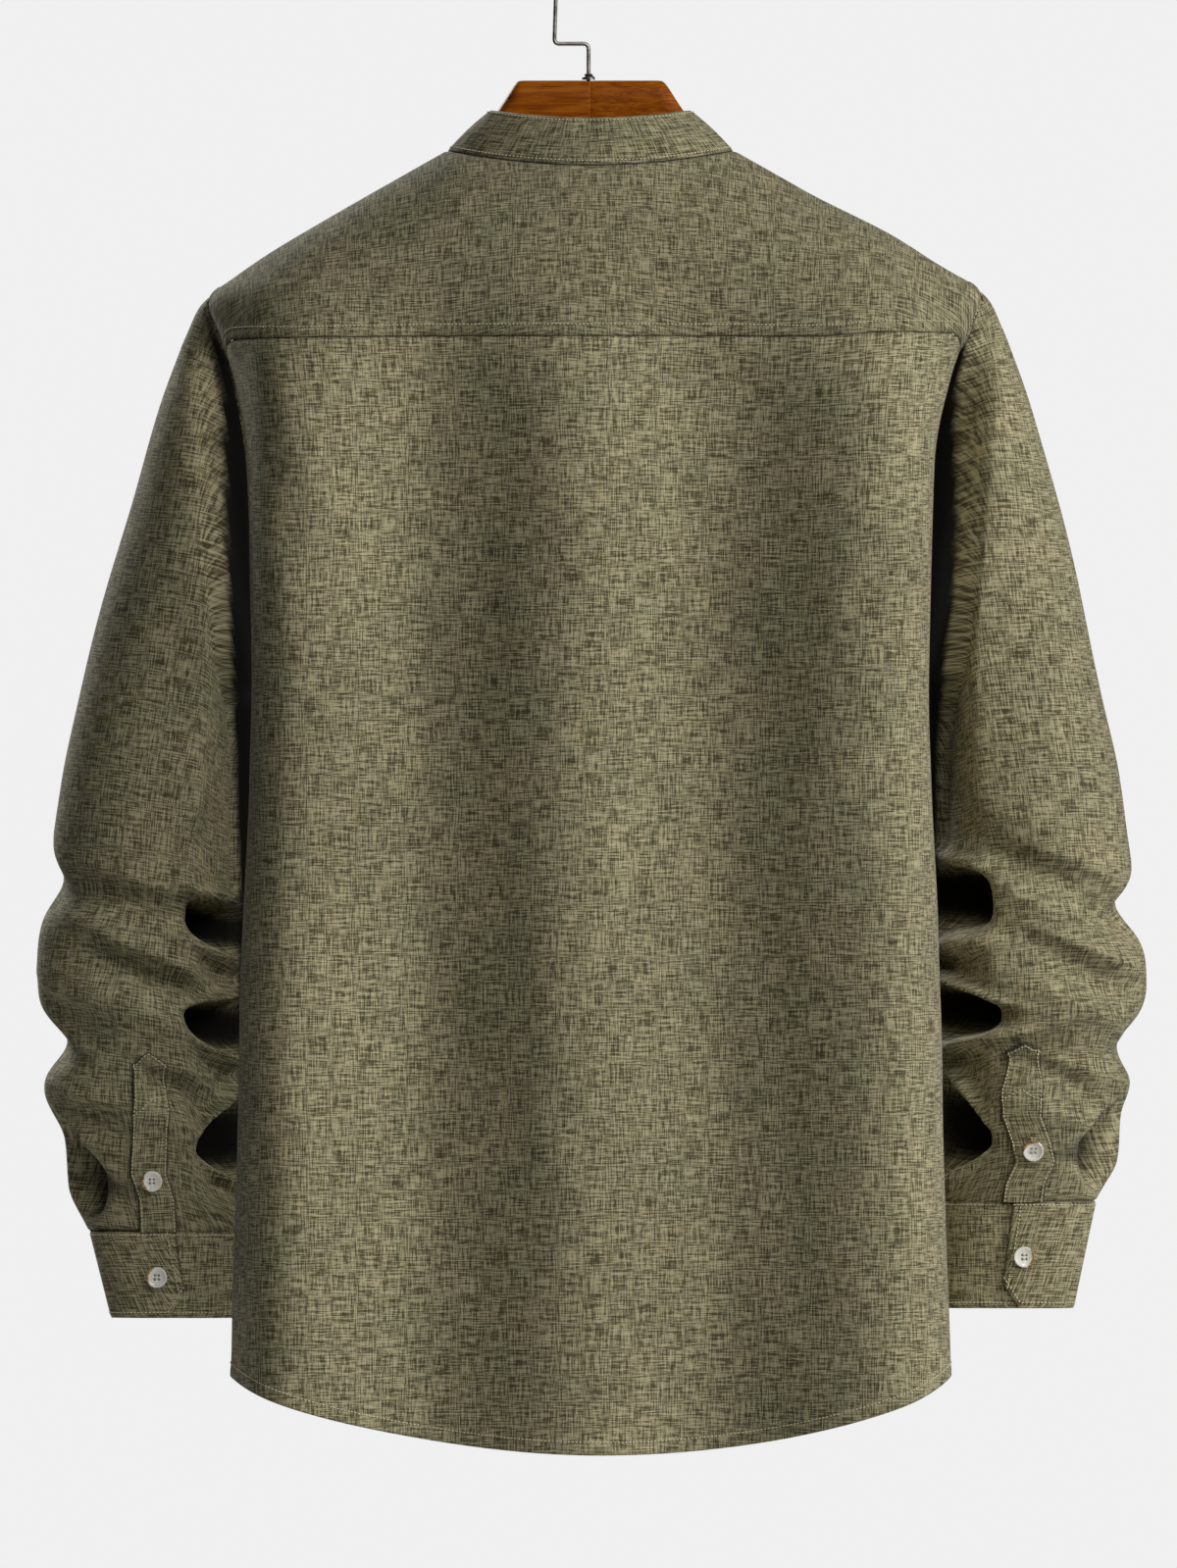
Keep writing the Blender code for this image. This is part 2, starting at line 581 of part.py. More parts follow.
def centre_front_edge(rows):
    """(turn, drop) pairs of the front edge, hem first, up to the neck seam."""
    top = neck_drop(centre_front_angle())
    drop = top + (HEM_FRONT_DROP - top) * np.linspace(1, 0, rows + 1) ** FRONT_EDGE_SPACING
    return np.stack([-turn_at_x(np.full(rows + 1, -OVERLAP), drop, False), drop], -1)


def front_grid(side):
    """(turn, drop) grid of a front, from its side seam to the centre, hem to shoulder."""
    left = np.concatenate([side_edge(),
                           armhole_edge(-np.arange(ARM_POINTS // 2, ARM_YOKE_FRONT - 1, -1))])
    straight = len(left) - 1 - NECK_FRONT_STEPS
    neck = neck_edge(front_neck_angles())
    right = np.concatenate([centre_front_edge(straight)[:-1], neck])
    share = FRONT_SHARES
    turns = left[0, 0] + (right[0, 0] - left[0, 0]) * share
    bottom = hem_edge(turns, HEM_FRONT_DROP)
    bottom[-1] = right[0]
    top = left[-1] + (right[-1] - left[-1]) * share[:, None]
    grid = patch(bottom, top, left, right, share)
    for column, x in ((-3, OVERLAP_END), (-2, OVERLAP)):
        below = grid[:straight + 1, column]
        below[:, 0] = -turn_at_x(np.full(straight + 1, x), below[:, 1], False)
    return grid if side > 0 else mirrored(grid)


def straighten(row):
    """Lays a front's shoulder edge along the straight stretches of the yoke's edge."""
    for first in range(0, FRONT_COLUMNS, SHOULDER_SPLIT):
        start, end = row[first].copy(), row[first + SHOULDER_SPLIT].copy()
        for step in range(1, SHOULDER_SPLIT):
            row[first + step] = start + (end - start) * step / SHOULDER_SPLIT


def make_front(side, look, collection):
    grid = front_grid(side)
    turn, drop = grid[..., 0], grid[..., 1]
    x = body_point(turn, drop)[..., 0]
    outer = body_point(turn, drop, overlap_lift(side, x))
    inner = outer - CLOTH * body_normal(turn, drop)
    straighten(outer[-1])
    straighten(inner[-1])
    name = "front_left" if side > 0 else "front_right"
    edges = ("left", "right", "top")
    wall(name, cut_back(outer, edges), cut_back(inner, edges), look, collection)


def front_band(stand):
    """The left front's points under its band, hem first, moved out by stand."""
    grid = front_grid(+1)[:-NECK_FRONT_STEPS, -2:]
    turn, drop = grid[..., 0], grid[..., 1]
    return body_point(turn, drop, np.full(drop.shape, OVERLAP_LIFT + stand))


def make_front_placket(look, collection):
    outer, inner = front_band(LAY_GAP + BAND_CLOTH), front_band(LAY_GAP)
    wall("front_placket", outer, inner, look, collection)


def collar_top(angles):
    """The collar's top edge, above the neck seam's points."""
    c, s = np.cos(angles), np.sin(angles)
    back = s >= 0
    y = np.where(back, COLLAR_BACK_Y, COLLAR_FRONT_Y) * s
    drop = np.where(back, COLLAR_SIDE_DROP + (COLLAR_BACK_DROP - COLLAR_SIDE_DROP) * s * s,
                    COLLAR_SIDE_DROP + (COLLAR_FRONT_DROP - COLLAR_SIDE_DROP)
                    * np.abs(s) ** NECK_CURVE)
    return np.stack([COLLAR_HALF_WIDTH * c, y, -drop], -1)


def make_collar(look, collection):
    left_front = front_neck_angles()[:-1]
    right_front = math.pi - left_front[::-1]
    angles = np.concatenate([left_front, yoke_neck_angles(), right_front])
    seam = neck_edge(angles)
    is_left = np.arange(len(angles)) < len(left_front)
    low = body_point(seam[:, 0], seam[:, 1])
    low_out = body_normal(seam[:, 0], seam[:, 1])
    lift = np.where(is_left, overlap_lift(1, low[:, 0]), 0.0)[:, None]
    high = collar_top(angles)
    around = np.gradient(high, axis=0)
    high_out = unit(np.cross(around, high - low))
    share = np.linspace(0, 1, COLLAR_ROWS + 1)[:, None, None]
    grid = (1 - share) * low + share * high
    out = unit((1 - share) * low_out + share * high_out)
    out[1:] = high_out
    outer = grid + lift * out
    inner = outer - COLLAR_CLOTH * out
    wall("collar", cut_back(outer, ("bottom",)), cut_back(inner, ("bottom",)), look, collection)


# ================================================================ sleeves
def cuff_fit(side, run):
    """How far a ring of the sleeve is moved so that the last one meets its cuff."""
    share = smooth_step((run - SLEEVE_CUFF_RUN) / (SLEEVE_LAST_RUN - SLEEVE_CUFF_RUN))
    cuff = CUFFS[side]
    last = {name: SLEEVE.columns[name][-1] for name in SLEEVE.columns}
    return {
        "outer_x": share * (cuff["top_outer"] - last["outer_x"]),
        "inner_x": share * (cuff["top_inner"] - last["inner_x"]),
        "outer_drop": share * (cuff["top_drop"] - last["outer_drop"]),
        "inner_drop": share * (cuff["top_drop"] - last["inner_drop"]),
    }


def sleeve_ring(side, run, angle):
    """A point of the sleeve without its creases, in the left sleeve's frame, and its centre."""
    fit = cuff_fit(side, run)
    ends = {name: SLEEVE.at(name, run) + fit[name] for name in fit}
    outer = np.stack([ends["outer_x"], 0 * run, -ends["outer_drop"]], -1)
    inner = np.stack([ends["inner_x"], 0 * run, -ends["inner_drop"]], -1)
    centre = (outer + inner) / 2
    centre[..., 1] = SLEEVE.at("centre_y", run)
    along, across = section_share(angle, SLEEVE_SQUARENESS)
    point = centre + along[..., None] * (outer - inner) / 2
    point[..., 1] += across * SLEEVE.at("half_depth", run)
    return point, centre


def crease_depth(side, drop, angle):
    """How deep the creases cut into the sleeve at a place on it."""
    total = np.zeros(np.broadcast(drop, angle).shape)
    for row in CREASES[side]:
        crease = dict(zip(CREASE_COLUMNS.split(), row))
        off = angle - math.radians(crease["angle"])
        off = (off + math.pi) % (2 * math.pi) - math.pi
        height = (drop - crease["drop"] - crease["slant"] * off) / crease["half_height"]
        spread = off / math.radians(crease["half_angle"])
        total = total + crease["depth"] * np.exp(-height ** 2 - spread ** 2)
    return total


def sleeve_point(side, run, angle):
    """A point of a sleeve's outer face. Side is +1 for the left sleeve and -1 for the right."""
    run, angle = np.broadcast_arrays(np.asarray(run, float), np.asarray(angle, float))
    point, centre = sleeve_ring(side, run, angle)
    edge = armhole_edge(angle * ARM_POINTS / (2 * math.pi))
    first = sleeve_ring(side, np.zeros_like(run), angle)[0]
    fade = 1 - smooth_step(run / ARMHOLE_FADE_RUN)
    point = point + (body_form(edge[..., 0], edge[..., 1]) - first) * fade[..., None]
    beside = 1 - between(point[..., 0] - BODY.at("half_width", -point[..., 2]), SLEEVE_TUCK_X)
    behind = between(point[..., 1] - centre[..., 1], SLEEVE_TUCK_Y)
    along = between(run, SLEEVE_TUCK_START) * (1 - between(run, SLEEVE_TUCK_END))
    point[..., 0] += SLEEVE_TUCK * beside * behind * along
    cut = crease_depth(side, -point[..., 2], angle)
    towards = centre - point
    towards[..., 2] *= CREASE_TILT
    point = point + cut[..., None] * unit(towards)
    point[..., 0] *= side
    return uneven(point)


def sleeve_normal(side, run, angle):
    """The outward direction of a sleeve's surface."""
    run = np.asarray(run, float)
    ahead = np.minimum(run + SMALL_STEP, SLEEVE_LAST_RUN)
    behind = np.maximum(run - SMALL_STEP, 0)
    down = sleeve_point(side, ahead, angle) - sleeve_point(side, behind, angle)
    around = (sleeve_point(side, run, angle + SMALL_STEP)
              - sleeve_point(side, run, angle - SMALL_STEP))
    return side * unit(np.cross(down, around))


def ring_angles():
    """Angles round the sleeve. They go past 180 as negative ones, like the armhole's steps."""
    steps = np.arange(ARM_POINTS)
    steps = np.where(steps > ARM_POINTS // 2, steps - ARM_POINTS, steps)
    return steps * 2 * math.pi / ARM_POINTS


def make_sleeve(side, look, collection):
    run = SLEEVE_RUNS[:, None]
    angle = ring_angles()[None, :]
    outer = sleeve_point(side, run, angle)
    inner = outer - CLOTH * sleeve_normal(side, run, angle)
    for skin in (outer, inner):
        skin[0, :, 0] += side * SEAM_GAP / 2
        skin[-1, :, 2] += SEAM_GAP / 2
    name = "sleeve_left" if side > 0 else "sleeve_right"
    wall(name, outer, inner, look, collection, round_tube=True)


# ================================================================ cuffs
def cuff_point(side, angle, share, lift):
    """A point of a cuff's outer face; share is 0 at its bottom edge and 1 at its seam."""
    cuff = CUFFS[side]
    outer = cuff["bottom_outer"] + (cuff["top_outer"] - cuff["bottom_outer"]) * share
    inner = cuff["bottom_inner"] + (cuff["top_inner"] - cuff["bottom_inner"]) * share
    depth = CUFF_BOTTOM_HALF_DEPTH + (CUFF_TOP_HALF_DEPTH - CUFF_BOTTOM_HALF_DEPTH) * share
    drop = cuff["bottom_drop"] + (cuff["top_drop"] - cuff["bottom_drop"]) * share
    along, across = section_share(angle, SLEEVE_SQUARENESS)
    half = (outer - inner) / 2
    out = unit(np.stack([np.sign(along) * np.abs(along) ** (SLEEVE_SQUARENESS - 1) / half,
                         np.sign(across) * np.abs(across) ** (SLEEVE_SQUARENESS - 1) / depth], -1))
    x = (outer + inner) / 2 + along * half + out[..., 0] * lift
    y = CUFF_Y + across * depth + out[..., 1] * lift
    return np.stack([side * x, y, -drop + 0 * x], -1)


def make_cuff(side, look, collection):
    angle = np.linspace(CUFF_START_ANGLE, CUFF_END_ANGLE + 2 * math.pi, CUFF_COLUMNS + 1)
    cuff = CUFFS[side]
    half = (cuff["bottom_outer"] - cuff["bottom_inner"]) / 2
    angle[-2] = angle[-1] - CUFF_CHAMFER_WIDTH / half
    lift = (CUFF_CLOTH + LAY_GAP) * smooth_step((angle - CUFF_LIFT_FROM)
                                                / (CUFF_LIFT_TO - CUFF_LIFT_FROM))
    share = np.repeat(np.linspace(0, 1, CUFF_ROWS + 1)[:, None], len(angle), axis=1)
    chamfer = CUFF_CHAMFER_HEIGHT / (cuff["bottom_drop"] - cuff["top_drop"])
    share[0, -1] = chamfer
    outer = cuff_point(side, angle[None, :], share, lift[None, :])
    inner = cuff_point(side, angle[None, :], share, lift[None, :] - CUFF_CLOTH)
    for skin in (outer, inner):
        skin[-1, :, 2] -= SEAM_GAP / 2
    name = "cuff_left" if side > 0 else "cuff_right"
    wall(name, outer, inner, look, collection)


# ================================================================ sleeve plackets
def run_at_drop(side, drop, angle):
    """The run at which the sleeve reaches a drop, at one angle."""
    runs = np.linspace(SLEEVE_CUFF_RUN, SLEEVE_LAST_RUN, SEARCH_STEPS)
    drops = -sleeve_point(side, runs, np.full(SEARCH_STEPS, angle))[:, 2]
    return np.interp(drop, drops, runs)


def sleeve_back_angle(side, run, x):
    """The angle, near 90 degrees, at which the sleeve's back has this distance from the middle."""
    fit = cuff_fit(side, run)
    outer = SLEEVE.at("outer_x", run) + fit["outer_x"]
    inner = SLEEVE.at("inner_x", run) + fit["inner_x"]
    share = (x - (outer + inner) / 2) / ((outer - inner) / 2)
    return math.pi / 2 - np.arcsin(share)


def placket_point(side, across, up, stand):
    """A point over the sleeve's back: across from -1 (outer edge) to 1, up from 0 to 1."""
    spec = PLACKETS[side]
    top_run = run_at_drop(side, spec["tip_drop"], math.pi / 2)
    tip = PLACKET_TIP_RISE * np.abs(across) / (SLEEVE.at("outer_drop", SLEEVE_LAST_RUN)
                                               - spec["tip_drop"])
    last = SLEEVE_LAST_RUN - PLACKET_END_RUN
    run = last + (top_run - last) * up * (1 - tip)
    x = spec["centre"][1] + (spec["centre"][0] - spec["centre"][1]) * up
    x = x + np.interp(up, *zip(*PLACKET_SWAY[side]))
    x = x - across * spec["width"] / 2
    angle = sleeve_back_angle(side, run, x)
    return sleeve_point(side, run, angle) + stand * sleeve_normal(side, run, angle)


def make_sleeve_placket(side, look, collection):
    across = np.linspace(-1, 1, PLACKET_COLUMNS + 1)[None, :]
    up = np.linspace(0, 1, PLACKET_ROWS + 1)[:, None]
    across, up = np.broadcast_arrays(across, up)
    outer = placket_point(side, across, up, PLACKET_LAY_GAP + BAND_CLOTH)
    inner = placket_point(side, across, up, PLACKET_LAY_GAP)
    name = "sleeve_placket_left" if side > 0 else "sleeve_placket_right"
    wall(name, outer, inner, look, collection)


# ================================================================ buttons
def turned(name, profile, sides, look, collection):
    """A round piece about its own Z axis, from (radius, height) points down its outer side."""
    mesh = bpy.data.meshes.new(name)
    mesh.from_pydata([(radius, 0.0, height) for radius, height in profile],
                     [(i, i + 1) for i in range(len(profile) - 1)], [])
    mesh.materials.append(look)
    item = bpy.data.objects.new(name, mesh)
    collection.objects.link(item)
    turn = item.modifiers.new("turn", "SCREW")
    turn.axis = "Z"
    turn.steps = turn.render_steps = sides
    turn.use_merge_vertices = True
    turn.merge_threshold = MERGE_DISTANCE
    turn.use_smooth_shade = True
    return item


def add_button(name, place, out, look, collection):
    """A button with a raised rim, whose back stands a thread shank off the cloth."""
    dish = BUTTON_THICKNESS * BUTTON_DISH
    profile = [(0.0, dish), (BUTTON_RADIUS - BUTTON_RIM, dish),
               (BUTTON_RADIUS - BUTTON_RIM * BUTTON_CREST, BUTTON_THICKNESS),
               (BUTTON_RADIUS, BUTTON_THICKNESS / 2),
               (BUTTON_RADIUS * BUTTON_FOOT, 0.0), (0.0, 0.0)]
    item = turned(name, profile, BUTTON_SIDES, look, collection)
    item.location = place + BUTTON_STAND * out
    item.rotation_euler = Vector(out).to_track_quat("Z", "Y").to_euler()


def make_buttons(look, collection):
    middle = front_band(LAY_GAP + BAND_CLOTH).mean(axis=1)
    drops = -middle[:, 2]
    for number, drop in enumerate(FRONT_BUTTON_DROPS, 1):
        row = np.searchsorted(-drops, -drop) - 1
        along = middle[row + 1] - middle[row]
        place = middle[row] + along * (drops[row] - drop) / along[2]
        out = unit(np.array([0.0, -along[2], along[1]]))
        add_button(f"button_front_{number}", place, out, look, collection)
    angle = np.array([-math.pi / 2 - SMALL_STEP, -math.pi / 2])
    seam = neck_edge(angle)
    low, high = body_point(seam[:, 0], seam[:, 1])[1], collar_top(angle)[1]
    slope = high - low
    out = unit(np.array([0.0, -slope[2], slope[1]]))
    place = (low + high) / 2 + OVERLAP_LIFT * out
    add_button("button_collar", place, out, look, collection)
    for side, word in ((+1, "left"), (-1, "right")):
        x, drop = CUFF_BUTTONS[side]
        cuff = CUFFS[side]
        share = (cuff["bottom_drop"] - drop) / (cuff["bottom_drop"] - cuff["top_drop"])
        middle = (cuff["bottom_outer"] + cuff["bottom_inner"]) * (1 - share) / 2 \
            + (cuff["top_outer"] + cuff["top_inner"]) * share / 2
        half = (cuff["bottom_outer"] - cuff["bottom_inner"]) / 2
        angle = math.pi / 2 - math.asin((x - middle) / half)
        lift = CUFF_CLOTH + LAY_GAP
        place = cuff_point(side, angle, share, lift)
        beyond = cuff_point(side, angle, share, lift + SMALL_STEP)
        add_button(f"button_cuff_{word}", place, unit(beyond - place), look, collection)
        spec = PLACKETS[side]
        bottom = cuff["top_drop"]
        up = np.float64((bottom - GAUNTLET_BUTTONS[side]) / (bottom - spec["tip_drop"]))
        zero, stand = np.float64(0.0), PLACKET_LAY_GAP + BAND_CLOTH
        place = placket_point(side, zero, up, stand)
        beyond = placket_point(side, zero, up, stand + SMALL_STEP)
        add_button(f"button_gauntlet_{word}", place, unit(beyond - place), look, collection)


# ================================================================ hanger
def make_hanger_wood(look, collection, cutters):
    """The wooden hanger: rounded sections along X, with a bore for the hook's stem."""
    stations = np.array([-x for x in HANGER_STATIONS[:0:-1]] + HANGER_STATIONS)
    reach = np.abs(stations)
    top, bottom = HANGER.at("top", reach), HANGER.at("bottom", reach)
    half = HANGER.at("half_thick", reach)
    angle = np.linspace(0, 2 * math.pi, HANGER_SECTION, endpoint=False) + math.pi / HANGER_SECTION
    across, up = section_share(angle, HANGER_ROUNDNESS)
    middle, rise = (top + bottom) / 2, (bottom - top) / 2
    rings = np.stack([stations[:, None] + 0 * across[None],
                      half[:, None] * across[None],
                      -middle[:, None] + rise[:, None] * up[None]], -1)
    points = uneven(rings).reshape(-1, 3)
    count = HANGER_SECTION
    faces = [list(range(count)), list(range(len(points) - count, len(points)))]
    for ring in range(len(stations) - 1):
        for i in range(count):
            a, b = ring * count + i, ring * count + (i + 1) % count
            faces.append([a, b, b + count, a + count])
    wood = add_object("hanger_wood", points, faces, look, collection)
    depth = BORE_BOTTOM - HANGER_TOP + BORE_OVERRUN
    bpy.ops.mesh.primitive_cylinder_add(vertices=BORE_SIDES, radius=BORE_RADIUS, depth=depth,
                                        location=(HOOK_STEM_X, 0, -BORE_BOTTOM + depth / 2))
    bore = bpy.context.active_object
    bore.name = "cut_bore"
    bore.hide_render = True
    bore.display_type = "WIRE"
    for owner in list(bore.users_collection):
        owner.objects.unlink(bore)
    cutters.objects.link(bore)
    cut = wood.modifiers.new("bore", "BOOLEAN")
    cut.operation = "DIFFERENCE"
    cut.object = bore


def bend(before, corner, after):
    """Points of a round bend at a corner of the wire."""
    start = corner + (before - corner).normalized() * HOOK_BEND
    end = corner + (after - corner).normalized() * HOOK_BEND
    points = []
    for i in range(BEND_STEPS + 1):
        t = i / BEND_STEPS
        points.append((1 - t) ** 2 * start + 2 * t * (1 - t) * corner + t * t * end)
    return points


def make_hook(look, collection):
    """The wire hook: an open ring over the rod, a shank beside it, a jog and a stem."""
    centre_drop = HOOK_RADIUS - WIRE_RADIUS
    ring = []
    for i in range(HOOK_STEPS + 1):
        turn = math.pi - math.pi * i / HOOK_STEPS
        ring.append(Vector((HOOK_RADIUS * math.cos(turn), 0,
                            -centre_drop + HOOK_RADIUS * math.sin(turn))))
    shank_low = Vector((HOOK_SHANK_X, 0, -HOOK_JOG_DROP))
    stem_high = Vector((HOOK_STEM_X, 0, -HOOK_JOG_DROP))
    stem_low = Vector((HOOK_STEM_X, 0, -HOOK_STEM_BOTTOM))
    route = ring + bend(ring[-1], shank_low, stem_high) \
        + bend(shank_low, stem_high, stem_low) + [stem_low]
    curve = bpy.data.curves.new("hanger_hook", "CURVE")
    curve.dimensions = "3D"
    curve.bevel_depth = WIRE_RADIUS
    curve.bevel_resolution = 2
    curve.use_fill_caps = True
    line = curve.splines.new("POLY")
    line.points.add(len(route) - 1)
    for point, place in zip(line.points, route):
        point.co = (*place, 1.0)
    curve.materials.append(look)
    collection.objects.link(bpy.data.objects.new("hanger_hook", curve))


def make_ferrule(look, collection):
    """The small metal cup round the stem, on the hanger's top."""
    profile = [(BORE_RADIUS, 0.0), (BORE_RADIUS, FERRULE_HEIGHT),
               (FERRULE_TOP_RADIUS, FERRULE_HEIGHT), (FERRULE_RADIUS, FERRULE_EDGE_HEIGHT),
               (FERRULE_RADIUS, 0.0), (BORE_RADIUS, 0.0)]
    ferrule = turned("hanger_ferrule", profile, FERRULE_SIDES, look, collection)
    ferrule.location = (HOOK_STEM_X, 0.0, FERRULE_STAND - HANGER_TOP)


def main():
    for item in list(bpy.data.objects):
        bpy.data.objects.remove(item, do_unlink=True)
    shirt = bpy.data.collections.new("mandarin_collar_shirt_on_hanger")
    cutters = bpy.data.collections.new("cutters")
    bpy.context.scene.collection.children.link(shirt)
    bpy.context.scene.collection.children.link(cutters)

    cloth = material("olive_cloth", (0.155, 0.135, 0.075), 0.9)
    shell = material("shell_button", (0.62, 0.58, 0.50), 0.35)
    wood = material("varnished_wood", (0.30, 0.085, 0.012), 0.3)
    wire = material("dull_wire", (0.42, 0.40, 0.37), 0.35, 1.0)

    make_back(cloth, shirt)
    make_yoke(cloth, shirt)
    make_front_placket(cloth, shirt)
    make_collar(cloth, shirt)
    for side in (+1, -1):
        make_front(side, cloth, shirt)
        make_sleeve(side, cloth, shirt)
        make_cuff(side, cloth, shirt)
        make_sleeve_placket(side, cloth, shirt)
    make_buttons(shell, shirt)
    make_hanger_wood(wood, shirt, cutters)
    make_hook(wire, shirt)
    make_ferrule(wire, shirt)


main()
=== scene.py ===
"""The looks of a long-sleeved shirt with a mandarin collar, hanging on its wooden hanger.

Every cloth piece is a fine grid of points on the same body and sleeve surfaces as the solid part,
given its thickness by Solidify. Metres, +Z up. The origin is the inside top of the hook, the
shirt's front faces -Y, and the wearer's left is +X. A drop is a distance below the origin.
"""

import json
import math

import bpy
import numpy as np
from bpy.props import FloatProperty, FloatVectorProperty, PointerProperty
from mathutils import Matrix, Vector

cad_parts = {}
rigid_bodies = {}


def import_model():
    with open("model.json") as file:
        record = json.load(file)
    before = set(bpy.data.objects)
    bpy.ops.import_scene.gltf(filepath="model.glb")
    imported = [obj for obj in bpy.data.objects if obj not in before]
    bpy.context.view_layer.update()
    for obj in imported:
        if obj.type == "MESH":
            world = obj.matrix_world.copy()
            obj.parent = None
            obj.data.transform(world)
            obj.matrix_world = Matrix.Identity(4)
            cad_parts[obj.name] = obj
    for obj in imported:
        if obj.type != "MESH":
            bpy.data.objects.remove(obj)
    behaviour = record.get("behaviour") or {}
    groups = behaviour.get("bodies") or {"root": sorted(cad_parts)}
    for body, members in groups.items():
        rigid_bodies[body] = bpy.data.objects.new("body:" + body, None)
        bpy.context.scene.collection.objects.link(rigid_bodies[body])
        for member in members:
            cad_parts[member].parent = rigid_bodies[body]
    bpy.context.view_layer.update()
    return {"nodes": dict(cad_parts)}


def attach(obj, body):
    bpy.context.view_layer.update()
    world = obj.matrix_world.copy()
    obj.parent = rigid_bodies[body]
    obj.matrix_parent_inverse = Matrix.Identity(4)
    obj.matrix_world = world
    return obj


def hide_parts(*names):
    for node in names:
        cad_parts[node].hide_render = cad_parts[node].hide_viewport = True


bl_info = {
    "name": "Mandarin Collar Shirt on Hanger",
    "version": (1, 0, 0),
    "blender": (4, 5, 0),
    "location": "3D View > Sidebar > Shirt",
    "description": "Builds the cloth, sewing, buttons and hanger of a shirt around its solid part",
    "category": "Object",
}

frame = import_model()
MM = 0.001

# ---------------------------------------------------------------- sizes shared with the solid part
CLOTH = 0.0013              # wall of the single cloth
BAND_CLOTH = 0.0016         # plackets: a folded strip
COLLAR_CLOTH = 0.0020       # collar and cuffs: two layers and an interlining
CUFF_CLOTH = 0.0022
SEAM_GAP = 0.0003
LAY_GAP = 0.00045           # between a strip and the panel that it lies on
PLACKET_LAY_GAP = 0.0008    # the same over a sleeve's creases
SMALL_STEP = 0.0005         # step over which a surface's direction is measured
SEARCH_STEPS = 400          # places tried when a run is looked up from a drop
CREASE_TILT = 0.2           # how much of the way to the ring's middle they follow in height

SHOULDER_TIP_DROP = 0.203
UNDERARM_DROP = 0.440
HEM_SIDE_DROP = 0.866
HEM_BACK_DROP = 0.914
HEM_FRONT_DROP = 0.900
HEM_BOW = 0.83              # share of the shirt-tail's fall that is one even bow
HEM_CORNER = 16             # power of the rest, close to the side seams
HEM_SHIFT = 0.045           # its lowest place is this share of the half width towards -X
NECK_SIDE_DROP = 0.1138
NECK_BACK_DROP = 0.1232
NECK_FRONT_DROP = 0.190
NECK_CURVE = 1.6            # power of the front neckline's fall
COLLAR_SIDE_DROP = 0.0890
COLLAR_BACK_DROP = 0.0940
COLLAR_FRONT_DROP = 0.1610
COLLAR_HALF_WIDTH = 0.0612
COLLAR_BACK_Y = 0.032
COLLAR_FRONT_Y = 0.066
YOKE_SEAM_DROP = 0.2285
YOKE_BOW = 0.25             # share of the yoke seam's fall that is one even bow
YOKE_BEND = 0.72            # the rest lies beyond this share of its half length
OVERLAP = 0.016             # each front runs this far past the centre line
OVERLAP_LIFT = 0.0026       # the left front stands this far off the right one
OVERLAP_END = 0.042         # |x| where the lift begins; it is whole from |x| = OVERLAP

ARM_POINTS = 30             # points round the armhole and round each sleeve
ARM_YOKE_BACK = 4           # armhole point where the yoke seam ends
ARM_YOKE_FRONT = 3          # armhole point, in front, where the shoulder seam ends
ARM_HALF_HEIGHT = (UNDERARM_DROP - SHOULDER_TIP_DROP) / 2
ARM_HALF_WIDTH = 0.025
ARM_FORWARD = 0.035         # the armhole's lower part lies this far in front of the shoulder
ARM_FORWARD_BY = 0.300      # drop by which it has moved forward

SIDE_STEPS = 5              # the side seam takes this many steps of a panel's edge
NECK_FRONT_STEPS = 6        # and the neck this many of a front's inner edge
FRONT_STEPS = SIDE_STEPS + ARM_POINTS // 2 - ARM_YOKE_FRONT
BACK_STEPS = SIDE_STEPS + ARM_POINTS // 2 - ARM_YOKE_BACK
NECK_FRONT_SEAM = math.radians(18)   # neck angle of the front shoulder seams, before the side
NECK_YOKE_SIDE = math.radians(14)    # neck angle that faces the yoke seam's ends
FRONT_EDGE_SPACING = 1.5    # power that sets the front edge's points closer towards the neck


class Table:
    """Rows of named columns, read as smooth curves that never overshoot a row."""

    def __init__(self, names, rows):
        self.columns = dict(zip(names.split(), np.array(rows, float).T))
        self.key = next(iter(self.columns.values()))

    def at(self, name, key):
        keys, values = self.key, self.columns[name]
        step = np.diff(keys)
        rise = np.diff(values) / step
        slope = np.zeros(len(keys))
        slope[0], slope[-1] = rise[0], rise[-1]
        before, after = rise[:-1], rise[1:]
        same = before * after > 0
        w1 = (2 * step[1:] + step[:-1])[same]
        w2 = (step[1:] + 2 * step[:-1])[same]
        slope[1:-1][same] = (w1 + w2) / (w1 / before[same] + w2 / after[same])
        key = np.clip(key, keys[0], keys[-1])
        i = np.clip(np.searchsorted(keys, key, side="right") - 1, 0, len(keys) - 2)
        h = step[i]
        t = (key - keys[i]) / h
        return ((1 + 2 * t) * (1 - t) ** 2 * values[i] + t * (1 - t) ** 2 * h * slope[i]
                + t * t * (3 - 2 * t) * values[i + 1] + t * t * (t - 1) * h * slope[i + 1])


